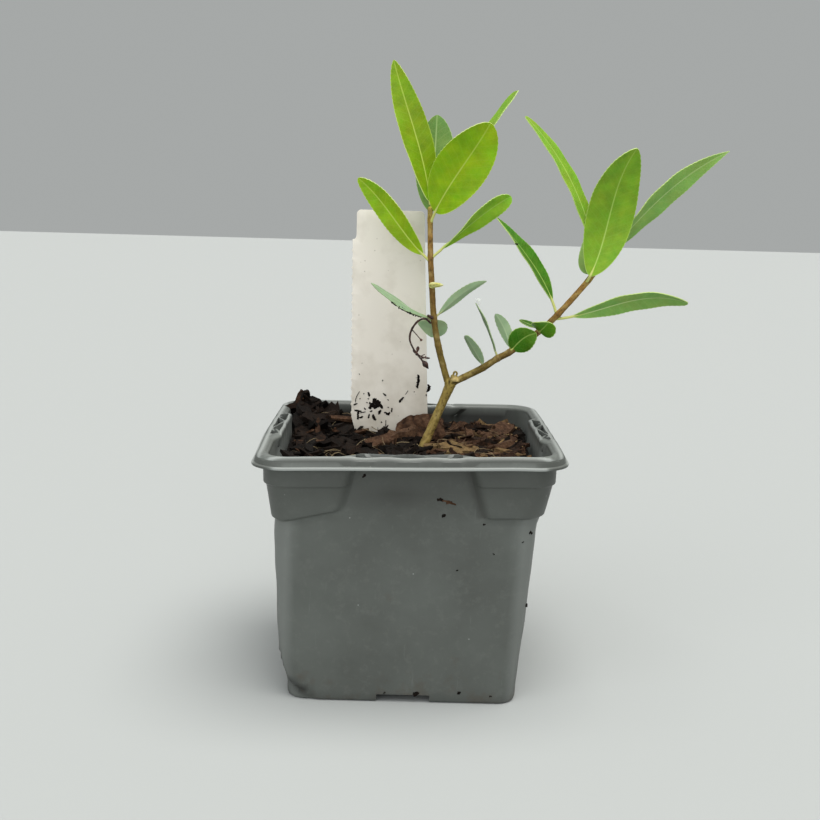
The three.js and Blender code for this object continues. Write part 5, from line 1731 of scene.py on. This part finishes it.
STALK = [(2.7, 215, 34), (1.9, 180, -14), (2.5, 180, -47), (2.1, 180, -65), (2.4, 180, -85), (2.7, 0, -68),
         (3.1, 0, -51)]
capsule_body = knob(0.26, 0.68, 0.7, 0.16)
STALK_PARTS = [  # name, root, internodes and radius
    ("stalk", (5.9, -0.8, 109.5), STALK, knob(0.36, 0.06, 0.45, 0.03, 0.1)),
    ("foot", (6.4, 0.2, 111.0), [(2.3, 205, 28)], lambda u: 0.6 - 0.28 * u),
    ("branch", (-0.1, -2.1, 107.7), [(4.9, 0, -47)], knob(0.16, 0.3, 0.93, 0.07)),
    ("twig", (1.9, -2.1, 99.9), [(2.2, 0, -24), (2, 0, -6)], knob(0.24, 0.16, 0.8, 0.1, 0.08)),
    ("twiglet", (3.0, -2.2, 99.4), [(1.5, 20, 24)], lambda u: 0.16),
    ("lower_twig", (2.3, -2.2, 99.0), [(1.4, 0, -8), (1.3, 20, 30)], lambda u: 0.22 - 0.08 * u),
    ("spur", (1.4, -2.1, 100.2), [(0.9, 180, 40), (0.7, 150, 70)], lambda u: 0.26 - 0.1 * u),
    ("dead_flower", (1.7, -2.1, 100.1), [(1.1, 60, 70), (1.3, 20, 80)], knob(0.2, 0.35, 0.7, 0.3)),
    ("capsule", (1.7, -2.1, 100.0), [(2.9, 0, -48), (3, 0, -52)],
     lambda u: capsule_body(u) - 1.2 * max(0, u - 0.9)),
]
stalk_pieces = [thin_tube(*part) for part in STALK_PARTS]
pick()
KNOT = Vector((1.7, -2.1, 100.0))
bpy.ops.mesh.primitive_ico_sphere_add(subdivisions=2, radius=0.5 * MM, location=KNOT * MM)
stalk_pieces.append(join("knot", [bpy.context.object]))
spent = join("spent_stalk_and_capsule", stalk_pieces)
places = places_of(spent)
noise.seed_set(3)
for i, place in enumerate(places):
    places[i] += 0.07 * Vector(noise.noise_vector(Vector(place) * 2.2))
move_points(spent, places)
smooth(spent, 60)


def make_blotched(name, size, detail, stops, *start):
    """A material whose colour wanders along a ramp. Start holds its roughness and other values."""
    material = start_material(name, *start)
    place = add_node(material, "TexCoord", output="Object")
    blotches = add_node(material, "TexNoise", {
        "Vector": place, "Scale": waves_per_metre(size), "Detail": detail})
    colour = add_node(material, "ValToRGB", {"Fac": blotches}, stops=stops)
    finish_material(material, {"Base Color": colour})
    return material


WITHERED = [(0.35, "#1f130e"), (0.55, "#38211a"), (0.7, "#5c3c2e")]
dry_stalk = make_blotched("dry_flower_stalk", 0.9, 4, WITHERED, 0.75)
hand_over(spent, ["spent_flower_stalk"], [dry_stalk])

# %% [markdown]
# The bud is three spindles: a core between two scales, which are a waxy yellow-green with paler blotches.

# %% The bud and its scales
def spindle(thick):
    return lambda u: thick * math.sin(math.pi * min(1, 0.1 + 0.9 * u)) ** 0.7


bud_pieces = [
    thin_tube("bud_core", (5.0, 0.5, 121.2), [(2.3, -12, 4), (2.2, -12, 1)], spindle(0.8)),
    thin_tube("bud_scale", (4.8, 0.2, 121.3), [(1.5, -20, 14), (1.6, -14, -2)], spindle(0.6)),
    thin_tube("bud_scale_below", (4.8, 0.7, 121.0), [(1.3, 0, -14), (1.2, -10, 6)], spindle(0.55)),
]
bud = join("side_bud_and_scales", bud_pieces)
smooth(bud, 60)
bud_skin = make_blotched("waxy_bud_scale", 1.5, 3, [(0.4, "#b6b45c"), (0.65, "#dcd8a0")], 0.45, {
    "Subsurface Weight": 0.1, "Subsurface Scale": 0.5 * MM})
hand_over(bud, ["side_bud"], [bud_skin])

# %% [markdown]
# Nine short white threads stand up from the tip of the thin leaf on the right shoot. Each is bent once.

# %% A tuft of wool on a leaf's tip
threads = []
for k in range(9):
    root = (20.05 + 0.03 * k, -1.7, 115.3 + 0.1 * (k % 3))
    internodes = [(1.3, 70 * k, 72), (1.2, 100 * k, 62)]
    threads.append(thin_tube("thread", root, internodes, lambda u: 0.08, sides=5, spacing=0.3))
wool = join("tuft_of_wool", threads)
plant_wool = start_material("white_plant_wool", 0.8, {"Base Color": "#eef0ec"})
hand_over(wool, ["leaf_right_thin"], [plant_wool])
